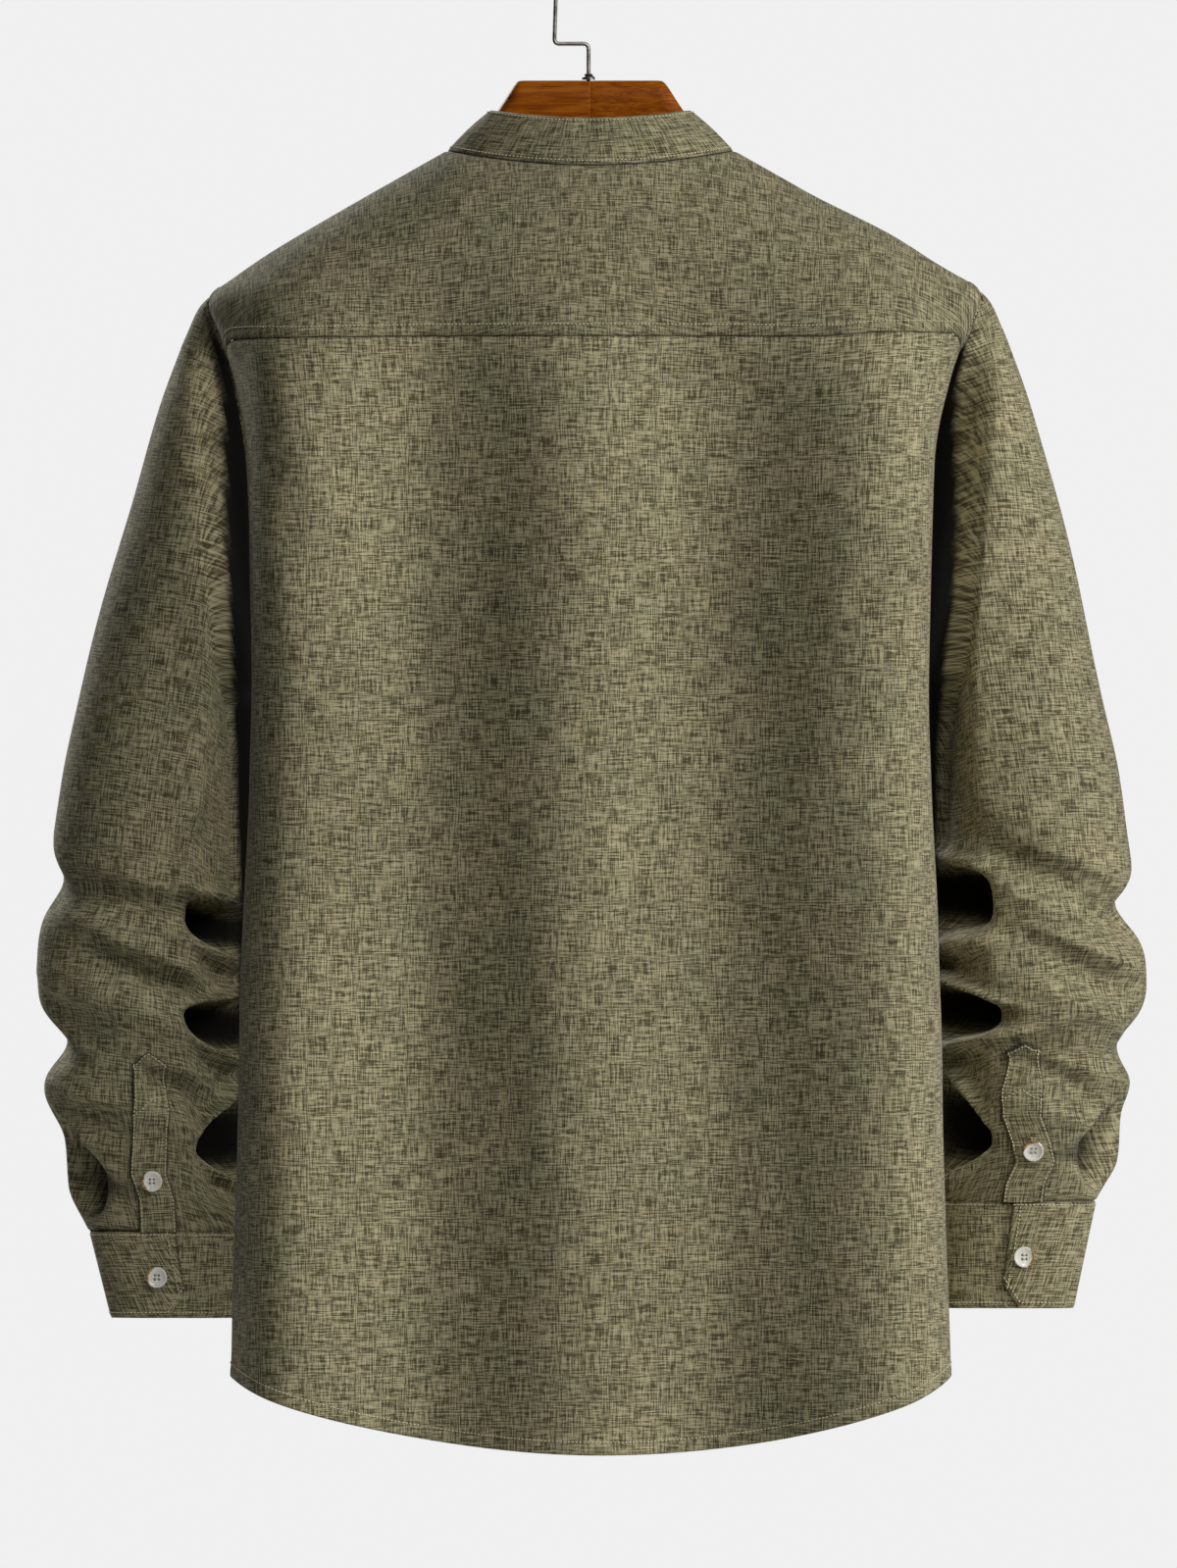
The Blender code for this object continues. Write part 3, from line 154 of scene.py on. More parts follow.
# The body's level sections, from the neck over the shoulders to the hem.
BODY = Table("drop half_width depth_back depth_front square_back square_front", [
    (0.1000, 0.0625, 0.026, 0.024, 2.0, 2.0),
    (0.1135, 0.0870, 0.037, 0.033, 2.0, 2.0),
    (0.1310, 0.1180, 0.054, 0.050, 2.0, 1.85),
    (0.1550, 0.1600, 0.069, 0.066, 2.1, 1.75),
    (0.1790, 0.2000, 0.080, 0.079, 2.2, 1.75),
    (0.1930, 0.2200, 0.085, 0.083, 2.3, 1.75),
    (0.2030, 0.2330, 0.088, 0.086, 2.4, 1.8),
    (0.2080, 0.2350, 0.089, 0.087, 2.5, 1.85),
    (0.2240, 0.2290, 0.092, 0.090, 2.9, 2.0),
    (0.2560, 0.2190, 0.096, 0.094, 3.9, 2.3),
    (0.3080, 0.2108, 0.100, 0.098, 5.4, 2.6),
    (0.3620, 0.2085, 0.103, 0.100, 6.3, 2.6),
    (0.4400, 0.2076, 0.105, 0.101, 6.3, 2.6),
    (0.5000, 0.2085, 0.105, 0.101, 6.3, 2.6),
    (0.5900, 0.2135, 0.105, 0.101, 6.3, 2.6),
    (0.7430, 0.2170, 0.108, 0.103, 6.3, 2.6),
    (0.8660, 0.2205, 0.111, 0.105, 6.3, 2.6),
    (0.9400, 0.2215, 0.112, 0.106, 6.3, 2.6),
])

# The broad folds that hang down the body: how far the cloth stands away from the middle (+) or
# towards it (-) across its width.
FOLDS_BACK = Table("x out", [
    (-0.216, 0.0), (-0.192, 0.0140), (-0.074, -0.0180), (0.010, 0.0050),
    (0.100, -0.0180), (0.199, 0.0150), (0.218, 0.0),
])
FOLDS_FRONT = Table("x out", [
    (-0.216, 0.0), (-0.158, 0.0085), (-0.088, -0.0090), (-0.026, 0.0030),
    (0.034, 0.0030), (0.094, -0.0095), (0.164, 0.0080), (0.216, 0.0),
])
FOLD_START_DROP = 0.135     # the folds begin under the collar
FOLD_FULL_DROP = 0.290      # and are whole below the yoke
FOLD_SIDE_START = 0.25      # share of the half depth by which they have faded round the sides
FOLD_SIDE_FULL = 0.60       # and from which they are whole

# The wearer's right shoulder sits a little higher than the left one, and its sleeve further out.
RIGHT_RISE = 0.0038
RIGHT_RISE_X = (0.130, 0.190)       # distances from the middle over which the rise begins
RIGHT_RISE_DROP = (0.220, 0.470)    # drops over which it ends
RIGHT_OUT = 0.0050
RIGHT_OUT_X = (0.205, 0.235)
RIGHT_OUT_DROP = (0.310, 0.470)

# The side seam's place from front to back.
SIDE_SEAM = Table("drop y", [(0.440, -0.035), (0.620, -0.026), (0.866, -0.020)])

# The sleeve's stations, from the armhole (run 0) to the cuff (run 14), for the left (+X) sleeve.
# Each ring lies between its outer point and its inner point, beside the body.
SLEEVE = Table("run outer_x outer_drop inner_x inner_drop centre_y half_depth", [
    (0.0, 0.2330, 0.203, 0.2030, 0.440, -0.0210, 0.025),
    (0.5, 0.2400, 0.210, 0.2060, 0.443, -0.0230, 0.030),
    (1.0, 0.2475, 0.226, 0.2085, 0.447, -0.0260, 0.046),
    (2.0, 0.2620, 0.263, 0.2100, 0.456, -0.0320, 0.059),
    (3.0, 0.2802, 0.323, 0.2082, 0.470, -0.0410, 0.066),
    (4.0, 0.2976, 0.383, 0.2058, 0.488, -0.0500, 0.068),
    (5.0, 0.3126, 0.443, 0.2048, 0.512, -0.0560, 0.066),
    (6.0, 0.3250, 0.495, 0.2045, 0.540, -0.0600, 0.063),
    (7.0, 0.3310, 0.535, 0.2045, 0.565, -0.0620, 0.060),
    (8.0, 0.3380, 0.585, 0.2050, 0.602, -0.0640, 0.057),
    (9.0, 0.3400, 0.622, 0.2055, 0.630, -0.0655, 0.054),
    (10.0, 0.3380, 0.660, 0.2060, 0.663, -0.0665, 0.051),
    (11.0, 0.3340, 0.692, 0.2065, 0.692, -0.0680, 0.048),
    (12.0, 0.3215, 0.722, 0.2070, 0.722, -0.0690, 0.044),
    (13.0, 0.3185, 0.751, 0.2075, 0.751, -0.0700, 0.038),
    (14.0, 0.3040, 0.779, 0.2090, 0.779, -0.0700, 0.030),
])
SLEEVE_SQUARENESS = 2.3
# Behind the body's side a sleeve is drawn away from it, which leaves a deep narrow gap.
SLEEVE_TUCK = 0.0150
SLEEVE_TUCK_X = (0.002, 0.036)      # distances from the body's side over which the tuck ends
SLEEVE_TUCK_Y = (0.000, 0.020)      # distances behind the ring's middle over which it begins
SLEEVE_TUCK_START = (0.5, 2.0)      # runs over which it begins
SLEEVE_TUCK_END = (12.6, 14.0)      # and ends
SLEEVE_LAST_RUN = 14.0
SLEEVE_CUFF_RUN = 7.0       # below this run the sleeve is fitted to its own cuff
ARMHOLE_FADE_RUN = 1.0      # run by which the armhole's own shape has gone

# Creases that cut into a sleeve. The angle runs from the outer side (0) over the back (90) to
# the side beside the body (180) and round the front (270). Taper is how fast a crease opens
# towards the larger angle, skew how much steeper its upper edge is than its lower one, edge how
# squarely it is cut, lip how far the cloth beside it swells out, as a share of the depth, and
# shade how strongly painted shade darkens the cloth deep inside it.
CREASE_COLUMNS = "drop angle depth half_height half_angle slant taper skew edge lip shade"
CREASES = {
    +1: [
        (0.567, 12, 0.013, 0.016, 52, 0.010, 0.0, 0.0, 2.0, 0.00, 0.0),
        (0.586, 142, 0.033, 0.0120, 25, 0.012, 0.10, 0.20, 3.6, 0.42, 1.0),
        (0.611, 235, 0.016, 0.016, 40, 0.012, 0.0, 0.0, 2.0, 0.10, 0.0),
        (0.649, 146, 0.030, 0.0120, 23, 0.004, 0.35, 0.15, 3.6, 0.45, 1.0),
        (0.663, 6, 0.019, 0.016, 55, 0.006, 0.0, 0.0, 2.0, 0.00, 0.0),
        (0.690, 262, 0.014, 0.014, 42, -0.012, 0.0, 0.0, 2.0, 0.10, 0.0),
        (0.722, 153, 0.028, 0.0175, 18, -0.010, 0.55, 0.0, 3.2, 0.40, 1.0),
        (0.740, 29, 0.031, 0.0230, 19, 0.016, -0.40, 0.20, 3.2, 0.05, 0.85),
        (0.620, 92, 0.0110, 0.012, 44, 0.026, 0.0, 0.30, 2.0, 0.30, 0.0),
        (0.644, 46, 0.0080, 0.011, 30, 0.020, 0.0, 0.30, 2.0, 0.25, 0.0),
        (0.692, 112, 0.0090, 0.012, 28, 0.022, 0.0, 0.30, 2.0, 0.25, 0.0),
        (0.572, 74, 0.0080, 0.012, 36, 0.022, 0.0, 0.30, 2.0, 0.25, 0.0),
        (0.540, 118, 0.0050, 0.016, 30, -0.030, 0.0, 0.0, 2.0, 0.20, 0.0),
        (0.704, 44, 0.0070, 0.010, 26, 0.014, 0.0, 0.30, 2.0, 0.25, 0.0),
    ],
    -1: [
        (0.582, 12, 0.018, 0.015, 52, 0.010, 0.0, 0.0, 2.0, 0.00, 0.0),
        (0.570, 146, 0.033, 0.0170, 26, -0.004, 0.10, 0.20, 3.6, 0.40, 1.0),
        (0.622, 248, 0.015, 0.016, 40, 0.012, 0.0, 0.0, 2.0, 0.10, 0.0),
        (0.641, 143, 0.032, 0.0115, 29, -0.006, 0.35, 0.20, 3.6, 0.45, 1.0),
        (0.666, 6, 0.017, 0.017, 55, 0.006, 0.0, 0.0, 2.0, 0.00, 0.0),
        (0.700, 280, 0.014, 0.014, 42, -0.012, 0.0, 0.0, 2.0, 0.10, 0.0),
        (0.716, 150, 0.029, 0.0190, 21, -0.010, 0.55, 0.05, 3.2, 0.40, 1.0),
        (0.722, 29, 0.032, 0.0220, 19, 0.012, -0.40, 0.20, 3.2, 0.05, 0.80),
        (0.618, 58, 0.0110, 0.013, 34, -0.026, 0.0, 0.30, 2.0, 0.30, 0.0),
        (0.668, 100, 0.0090, 0.012, 32, 0.020, 0.0, 0.30, 2.0, 0.25, 0.0),
        (0.688, 64, 0.0080, 0.011, 28, -0.018, 0.0, 0.30, 2.0, 0.25, 0.0),
        (0.558, 74, 0.0080, 0.012, 34, -0.024, 0.0, 0.30, 2.0, 0.25, 0.0),
        (0.540, 112, 0.0050, 0.018, 34, -0.034, 0.0, 0.0, 2.0, 0.20, 0.0),
    ],
}
# The edge of the painted shade that darkens the deep gap between a sleeve and the body: how far it
# is from the middle.
GAP_EDGE = {
    +1: ((0.215, 0.236), (0.234, 0.234), (0.264, 0.2274), (0.299, 0.2262), (0.342, 0.2256),
         (0.384, 0.2226), (0.426, 0.2214), (0.501, 0.2200), (0.560, 0.2180), (0.80, 0.2160)),
    -1: ((0.215, 0.238), (0.234, 0.231), (0.257, 0.2268), (0.278, 0.2244), (0.320, 0.2256),
         (0.348, 0.2262), (0.384, 0.2244), (0.426, 0.2184), (0.503, 0.2150), (0.80, 0.2150)),
}

# The two cuffs: where each one's top and bottom lie, and how far its edges are from the middle.
CUFFS = {
    +1: dict(top_drop=0.7785, bottom_drop=0.8310, top_outer=0.3080, top_inner=0.2090,
             bottom_outer=0.2940, bottom_inner=0.2060),
    -1: dict(top_drop=0.7600, bottom_drop=0.8250, top_outer=0.3108, top_inner=0.2150,
             bottom_outer=0.2975, bottom_inner=0.2110),
}
CUFF_Y = -0.070
CUFF_TOP_HALF_DEPTH = 0.030
CUFF_BOTTOM_HALF_DEPTH = 0.028
CUFF_END_ANGLE = math.radians(94)       # the lapped end, on the back
CUFF_START_ANGLE = math.radians(60)     # the end that lies under it
CUFF_LIFT_FROM = math.radians(352)
CUFF_LIFT_TO = math.radians(412)
CUFF_CHAMFER_WIDTH = 0.012
CUFF_CHAMFER_HEIGHT = 0.016

# The tower plackets above the cuffs, on the back of each sleeve.
PLACKETS = {
    +1: dict(centre=(0.2712, 0.2650), tip_drop=0.667, width=0.0225),
    -1: dict(centre=(0.2650, 0.2655), tip_drop=0.660, width=0.0250),
}
# How far a placket leans away from the body at a share of its height: it follows the folds.
PLACKET_SWAY = {
    +1: ((0.0, 0.0), (0.20, 0.0), (0.36, 0.0040), (0.55, 0.0020), (0.75, 0.0), (1.0, 0.0)),
    -1: ((0.0, 0.0), (0.12, 0.0016), (0.26, 0.0078), (0.40, 0.0050), (0.56, 0.0), (1.0, 0.0)),
}
PLACKET_TIP_RISE = 0.0075
PLACKET_END_RUN = 0.03      # a placket ends this run above the cuff's seam

BUTTON_RADIUS = 0.0064
BUTTON_THICKNESS = 0.0026
BUTTON_RIM = 0.0019
BUTTON_STAND = 0.0007       # thread shank under a button
FRONT_BUTTON_DROPS = [0.235 + 0.088 * i for i in range(7)]
CUFF_BUTTONS = {+1: (0.2652, 0.806), -1: (0.2658, 0.7935)}
GAUNTLET_BUTTONS = {+1: 0.7450, -1: 0.7280}

HANGER_TOP = 0.071
HANGER = Table("x top bottom half_thick", [
    (0.000, 0.0710, 0.126, 0.0090),
    (0.044, 0.0710, 0.130, 0.0090),
    (0.048, 0.0755, 0.131, 0.0090),
    (0.056, 0.0885, 0.134, 0.0092),
    (0.066, 0.1010, 0.138, 0.0096),
    (0.084, 0.1158, 0.146, 0.0104),
    (0.110, 0.1299, 0.158, 0.0118),
    (0.150, 0.1526, 0.180, 0.0145),
    (0.190, 0.1774, 0.202, 0.0162),
    (0.212, 0.1935, 0.214, 0.0142),
    (0.219, 0.2010, 0.212, 0.0100),
])

# ---------------------------------------------------------------- sizes of the fine surface
YOKE_BACK_STEPS = 30        # the yoke seam takes this many steps of the yoke's outer edge
WEAVE_MAP = "weave"         # the UV map in metres along and across the threads
EDGE_STEPS = (0.6 * MM, 1.8 * MM, 4.0 * MM)
SEAM_ROLL_DEPTH = 0.8 * MM
SEAM_ROLL_WIDTH = 2.6 * MM
BAND_ROLL_DEPTH = 0.5 * MM
BAND_ROLL_WIDTH = 1.6 * MM
HEM_WIDTH = 8.0 * MM
HEM_THICKER = 0.5 * MM
HEM_EDGE = (-0.4 * MM, 1.2 * MM)
HEM_DENT = 0.35 * MM
HEM_DENT_PLACE, HEM_DENT_WIDTH = 0.6 * MM, 1.5 * MM
COARSE_SHARE = 0.62         # share of the weave that its thick threads make up
FINE_THREAD_RATE, FINE_SLUB_RATE = 2.3, 3.0
YOKE_PROUD = 0.4 * MM
YOKE_PROUD_WIDTH = 9.0 * MM
YOKE_WEAVE_X, YOKE_WEAVE_DROP, YOKE_WEAVE_Y = 1.1, 0.9, 0.6
YOKE_RIDGE = 0.012          # the yoke's highest line lies within this distance of y = 0
YOKE_TURN_OVER = (-0.015, 0.015)
YOKE_AHEAD_WEAVE_Y = 1.2
SLEEVE_WEAVE_TURN = (-0.85, 0.15)   # sines of the angle where the sleeve's weave turns
RIPPLE = 0.5 * MM           # height of the body's small unevenness, and its waves' rates
RIPPLE_X, RIPPLE_DROP, RIPPLE_SLANT = 61, 26, 52.7
RIPPLE_SWAY, RIPPLE_SWAY_DROP, RIPPLE_SWAY_X = 2.2, 17, 9
RIPPLE_FROM = (0.16, 0.28)
SLEEVE_RIPPLE = 0.7 * MM    # the same on the sleeves, with each wave's rates by x and by drop
SLEEVE_RIPPLE_ACROSS = (74, -22)
SLEEVE_RIPPLE_DOWN = (18, 31)
SLEEVE_RIPPLE_FROM = (0.24, 0.34)
SLEEVE_THREADS = (0.25, 0.0, -1.0)
SLEEVE_COLUMNS = 132
LIP_PLACE, LIP_WIDTH = 1.50, 0.36
TAPER_LIMITS = (0.35, 1.7)
SLEEVE_CLOSE = 3.2 * MM     # how much closer to the body the sleeve hangs at one height
SLEEVE_CLOSE_X = (0.004, 0.020)
SLEEVE_CLOSE_DROP, SLEEVE_CLOSE_HALF = 0.455, 0.040
# Painted shade on the sleeves, deep in their creases and in the gap between each sleeve and the
# body.
SHADE_PROFILE = (0.30, 0.90)
SHADE_BEYOND = 0.36         # a crease's painted shade goes on further on the body's side
SHADE_BACK = (-0.35, -0.05)  # the gap's painted shade ends between these sines of the angle
# Painted shade beside sewn edges, stronger beside lapped edges, fading out over this width.
SEAM_SHADE = 0.42
LAP_SHADE = 0.85
SEAM_SHADE_WIDTH = 1.9 * MM
CREASE_END = (0.002, 0.015)  # the creases fade out between these distances above the cuff
SHADE_GAP = (-2.5 * MM, 0.5 * MM)
SHADE_DROP = (0.200, 0.235)
SHADE_MAP = "shade"         # a UV map whose U is how much painted shade darkens the cloth
SLEEVE_END_IN = 2.6 * MM
CUFF_OVER = 0.5 * MM
AMBER_FROM = 0.70           # the shell's brown layer shows outside this share of the radius
AMBER_HALF_ANGLE = math.radians(62)
AMBER_WAYS = tuple(math.radians(turn) for turn in (60, 130, -20, 100, 170, 35))
SLEEVE_END_TURN = 5.0 * MM     # how far the sleeve goes on inside its cuff
CUFF_WAVE = 0.8 * MM
COLLAR_BULGE = 0.9 * MM
COLLAR_CORNER = 0.45        # share of the collar's height by which its front corners are rounded
COLLAR_CORNER_SLOPE = 0.16
COLLAR_UPRIGHT = 2.5        # how soon above its seam the collar stands upright
BUTTON_HOLE_RADIUS = 0.72 * MM
BUTTON_HOLE_PITCH = 1.75 * MM
BUTTONHOLE_LENGTH = 15.5 * MM
BUTTONHOLE_STITCH = 1.6 * MM
BUTTONHOLE_PITCH = 0.6 * MM
HANGER_STATIONS = [0.0, 0.010, 0.022, 0.036, 0.0425, 0.045, 0.048, 0.053, 0.060, 0.070, 0.084,
                   0.104, 0.130, 0.155, 0.180, 0.200, 0.212, 0.2165]
HANGER_SIDES = 20
HANGER_ROUNDNESS = 3.4
JOINT_GROOVE = 0.5 * MM
JOINT_NEAR, JOINT_LIP = 0.1 * JOINT_GROOVE, 0.6 * JOINT_GROOVE
HANGER_END_INSET, HANGER_END_OUT = 2.2 * MM, 1.6 * MM
MERGE_DISTANCE = 0.02 * MM
RING_RADIUS, RING_HALF_THICK = 1.9 * MM, 0.75 * MM
RING_SEGMENTS, RING_SIDES = 28, 12
RING_TOP, RING_PRESSED = 0.5, 0.25 * MM   # faces that look up this much are pressed down
RING_HEIGHT = 3.6 * MM
HOOK_STEM_X = 0.0012
SENSOR = 36.0
FLOOR_HEIGHT = -1.75
FLOOR_RADIUS = 1.7
FAR_LIGHT = 8.0             # distance of the key and fill lights
FILL_SIZE = 3.0
FRONT_KEY = (math.radians(215), math.radians(30), 3.0, 1.2)   # turn, rise, distance and size
SLEEVE_LIGHT_RISE, SLEEVE_LIGHT_FAR, SLEEVE_LIGHT_SIZE = 0.55, 3.5, 1.2
FACING = 0.9                # a face looks along an axis if its normal has this share of it
STITCH_BODY, STITCH_END, STITCH_PINCH, STITCH_SINK = 0.56, 0.22, 0.35, 0.15
BUTTON_SIDES, BUTTON_HOLE_SIDES = 48, 14
BUTTON_STEPS = ((0.45, 0.0), (0.35, 0.10), (0.45, 0.16))   # shares of the rim in and down
BUTTON_BACK = (0.2, 0.06)
BUTTON_BEVEL, BUTTON_DISH, BUTTON_THREAD = 0.14, 0.74, 0.42 * MM
BUTTON_BEVEL_STEPS, BUTTON_BEVEL_ANGLE = 3, math.radians(35)
BUTTON_SHARP_ANGLE = math.radians(40)
THREAD_RISE, THREAD_REACH, THREAD_SINK = 0.1 * MM, 0.95, 0.1
BUTTONHOLE_SINK, BUTTONHOLE_BESIDE, BUTTONHOLE_HALF_LINE = 0.25, 0.6, 0.5 * MM
LONE_STITCH = 10 * MM       # a pitch longer than its line, which puts one stitch on it
AMBER_FADE = 0.25
BAND_PLACES, BAND_PAST_NECK = 200, 0.01
SIDE_WORDS = {+1: "left", -1: "right"}

# How many spans each cloth piece has one way, and its length that way.
SPANS = {
    "back": {"across": (112, 0.44), "up": (168, 0.68)},
    "yoke": {"across": (176, 0.90), "up": (38, 0.13)},
    "front": {"across": (62, 0.23), "up": (190, 0.75)},
    "front_placket": {"across": (24, 2 * OVERLAP), "up": (180, 0.71)},
    "collar": {"up": (22, 0.030)},
    "sleeve": {"upper": (52, 0.30), "lower": (116, 0.24)},
    "cuff": {"across": (150, 0.30)},
    "sleeve_placket": {"across": (20, 0.024), "up": (76, 0.11)},
}
COLLAR_SPANS = 170
CUFF_SPANS = 26

# Soft folds of the body panels: ridges (+) and troughs (-).
RELIEF_COLUMNS = "x drop half_width half_length lean out"
RELIEF = {
    "back": [
        (-0.145, 0.470, 0.016, 0.120, 0.10, 0.0020),
        (-0.120, 0.700, 0.012, 0.110, -0.08, -0.0018),
        (-0.035, 0.560, 0.012, 0.150, 0.05, -0.0016),
        (0.030, 0.640, 0.014, 0.160, -0.06, 0.0018),
        (0.066, 0.420, 0.012, 0.110, 0.10, -0.0014),
        (0.128, 0.600, 0.013, 0.140, 0.05, 0.0016),
        (0.160, 0.760, 0.011, 0.100, -0.07, -0.0016),
        (-0.188, 0.330, 0.012, 0.060, 0.30, -0.0022),
        (0.186, 0.330, 0.012, 0.060, -0.30, -0.0022),
        (-0.060, 0.800, 0.012, 0.090, 0.08, 0.0014),
    ],
    "front": [
        (-0.140, 0.500, 0.014, 0.130, 0.08, 0.0019),
        (-0.110, 0.720, 0.012, 0.110, -0.06, -0.0017),
        (-0.055, 0.330, 0.011, 0.090, 0.16, -0.0014),
        (0.060, 0.340, 0.011, 0.090, -0.16, -0.0014),
        (0.120, 0.560, 0.013, 0.140, 0.06, 0.0016),
        (0.150, 0.740, 0.011, 0.110, -0.06, -0.0016),
        (0.185, 0.330, 0.012, 0.060, -0.28, -0.0022),
        (-0.188, 0.335, 0.012, 0.060, 0.28, -0.0022),
    ],
}

# Rows of stitches: the piece and the edge that each line follows, and how far in it lies.
STITCH_ROWS = {
    "collar": [("collar", "bottom", 2.6 * MM), ("collar", "top", 2.4 * MM)],
    "yoke": [("yoke", "bottom", 7.2 * MM)],
    "hem": [(name, "bottom", HEM_WIDTH) for name in ("back", "front_left", "front_right")],
    "front_band": [("front_placket", edge, 5.0 * MM) for edge in ("left", "right")],
}
CUFF_STITCHES = (("bottom", 3.6 * MM), ("top", 1.9 * MM), ("right", 5.2 * MM))
PLACKET_STITCHES = (("left", 1.8 * MM), ("right", 1.8 * MM), ("top", 1.8 * MM), ("top", 32 * MM))
for word in SIDE_WORDS.values():
    STITCH_ROWS["cuff_" + word] = [("cuff_" + word, *row) for row in CUFF_STITCHES]
    STITCH_ROWS["placket_" + word] = [("sleeve_placket_" + word, *row)
                                      for row in PLACKET_STITCHES]
LEFT_SLEEVE_PIECES = ("sleeve_left", "cuff_left", "placket_left", "cuff_left_shell",
                      "gauntlet_left_shell")
PIECES = {}                 # each cloth piece's points and normals, for the sewing on it


# ================================================================ the cloth's surfaces
def unit(vectors):
    return vectors / np.linalg.norm(vectors, axis=-1, keepdims=True)


def smooth_step(value):
    value = np.clip(value, 0.0, 1.0)
    return value * value * (3 - 2 * value)


def section_share(turn, squareness):
    """A level section's point, as shares of its half width and half depth."""
    c, s = np.cos(turn), np.sin(turn)
    reach = (np.abs(c) ** squareness + np.abs(s) ** squareness) ** (1 / squareness)
    return c / reach, s / reach


def by_face(name, at_back, drop):
    """A size of the body's level section, at the back or in front."""
    return np.where(at_back, BODY.at(name + "_back", drop), BODY.at(name + "_front", drop))


def squareness(at_back, drop):
    """How square a level section is, at the back or in front."""
    return by_face("square", at_back, drop)


def turn_at_x(x, drop, at_back):
    """The turn, from 0 at +X to pi at -X, of a point with this x at the back or in front."""
    n = squareness(at_back, drop)
    share = np.clip(np.abs(x) / BODY.at("half_width", drop), 1e-6, 0.999999)
    angle = np.arctan((share ** -n - 1) ** (1 / n))
    return np.where(np.asarray(x) >= 0, angle, math.pi - angle)


def turn_at_y(y, drop):
    """The turn, near 0, of a point on the +X side with this y."""
    at_back = np.asarray(y) >= 0
    n = squareness(at_back, drop)
    depth = by_face("depth", at_back, drop)
    share = np.clip(np.abs(y) / depth, 1e-6, 0.999999)
    return np.sign(y) * np.arctan(1 / (share ** -n - 1) ** (1 / n))


def between(value, limits):
    """A smooth share from 0 to 1 as a value passes from one limit to the other."""
    return smooth_step((value - limits[0]) / (limits[1] - limits[0]))


def uneven(point):
    """A point moved as the higher right shoulder and its wider sleeve need."""
    out, drop = -point[..., 0], -point[..., 2]
    rise = RIGHT_RISE * between(out, RIGHT_RISE_X) * (1 - between(drop, RIGHT_RISE_DROP))
    wider = RIGHT_OUT * between(out, RIGHT_OUT_X) * (1 - between(drop, RIGHT_OUT_DROP))
    return point + np.stack([-wider, 0 * rise, rise], -1)


def body_form(turn, drop):
    """A point of the cloth's outer face on the body, before the shoulders hang unevenly."""
    turn, drop = np.broadcast_arrays(np.asarray(turn, float), np.asarray(drop, float))
    n = squareness(np.sin(turn) >= 0, drop)
    share_x, share_y = section_share(turn, n)
    width = BODY.at("half_width", drop)
    depth = by_face("depth", share_y >= 0, drop)
    x, y = share_x * width, share_y * depth
    fold = np.where(share_y >= 0, FOLDS_BACK.at("out", x), -FOLDS_FRONT.at("out", x))
    fold = fold * between(drop, (FOLD_START_DROP, FOLD_FULL_DROP))
    fold = fold * between(np.abs(share_y), (FOLD_SIDE_START, FOLD_SIDE_FULL))
    return np.stack([x, y + fold, -drop], -1)


def body_point(turn, drop):
    """A point of the cloth's outer face on the body."""
    return uneven(body_form(turn, drop))


def body_normal(turn, drop):
    """The outward direction of the body's surface."""
    across = body_point(turn + SMALL_STEP, drop) - body_point(turn - SMALL_STEP, drop)
    down = body_point(turn, drop + SMALL_STEP) - body_point(turn, drop - SMALL_STEP)
    return unit(np.cross(down, across))


def neck_drop(angle):
    """The neck seam's drop at an angle round the neck: 0 at +X, 90 degrees at the back."""
    s = np.sin(angle)
    back = NECK_SIDE_DROP + (NECK_BACK_DROP - NECK_SIDE_DROP) * s * s
    front = NECK_SIDE_DROP + (NECK_FRONT_DROP - NECK_SIDE_DROP) * np.abs(s) ** NECK_CURVE
    return np.where(s >= 0, back, front)


def neck_edge(angles):
    """(turn, drop) pairs of the neck seam."""
    angles = np.asarray(angles, float)
    drop = neck_drop(angles)
    half = BODY.at("half_width", NECK_SIDE_DROP)
    at_back = np.sin(angles) >= 0
    turn = turn_at_x(half * np.cos(angles), drop, at_back)
    in_front = np.where(angles > 0, 2 * math.pi - turn, -turn)
    return np.stack([np.where(at_back, turn, in_front), drop], -1)


def armhole_edge(steps):
    """(turn, drop) pairs of the +X armhole: 0 at the shoulder tip, positive round the back."""
    angle = np.asarray(steps, float) * 2 * math.pi / ARM_POINTS
    drop = SHOULDER_TIP_DROP + ARM_HALF_HEIGHT * (1 - np.cos(angle))
    forward = ARM_FORWARD * smooth_step((drop - SHOULDER_TIP_DROP)
                                        / (ARM_FORWARD_BY - SHOULDER_TIP_DROP))
    return np.stack([turn_at_y(ARM_HALF_WIDTH * np.sin(angle) - forward, drop), drop], -1)


def mirrored(edge):
    """The same edge on the other side of the body, as (turn, drop) pairs."""
    return np.stack([math.pi - edge[..., 0], edge[..., 1]], -1)


def spread(count, *marks, ends=()):
    """Shares from 0 to 1, with the marks and, near both ends, the end shares added."""
    shares = [np.linspace(0, 1, count + 1), marks, ends, [1 - end for end in ends]]
    shares = np.unique(np.round(np.concatenate(shares), 6))
    keep = np.concatenate([[True], np.diff(shares) > 1e-4])
    return shares[keep]


def patch(bottom, top, left, right, across, up):
    """A grid of (turn, drop) pairs between four edges that meet at their corners."""
    s, t = across[None, :, None], up[:, None, None]
    along = (1 - t) * bottom[None] + t * top[None]
    beside = (1 - s) * left[:, None] + s * right[:, None]
    corners = ((1 - t) * ((1 - s) * bottom[0] + s * bottom[-1])
               + t * ((1 - s) * top[0] + s * top[-1]))
    return along + beside - corners


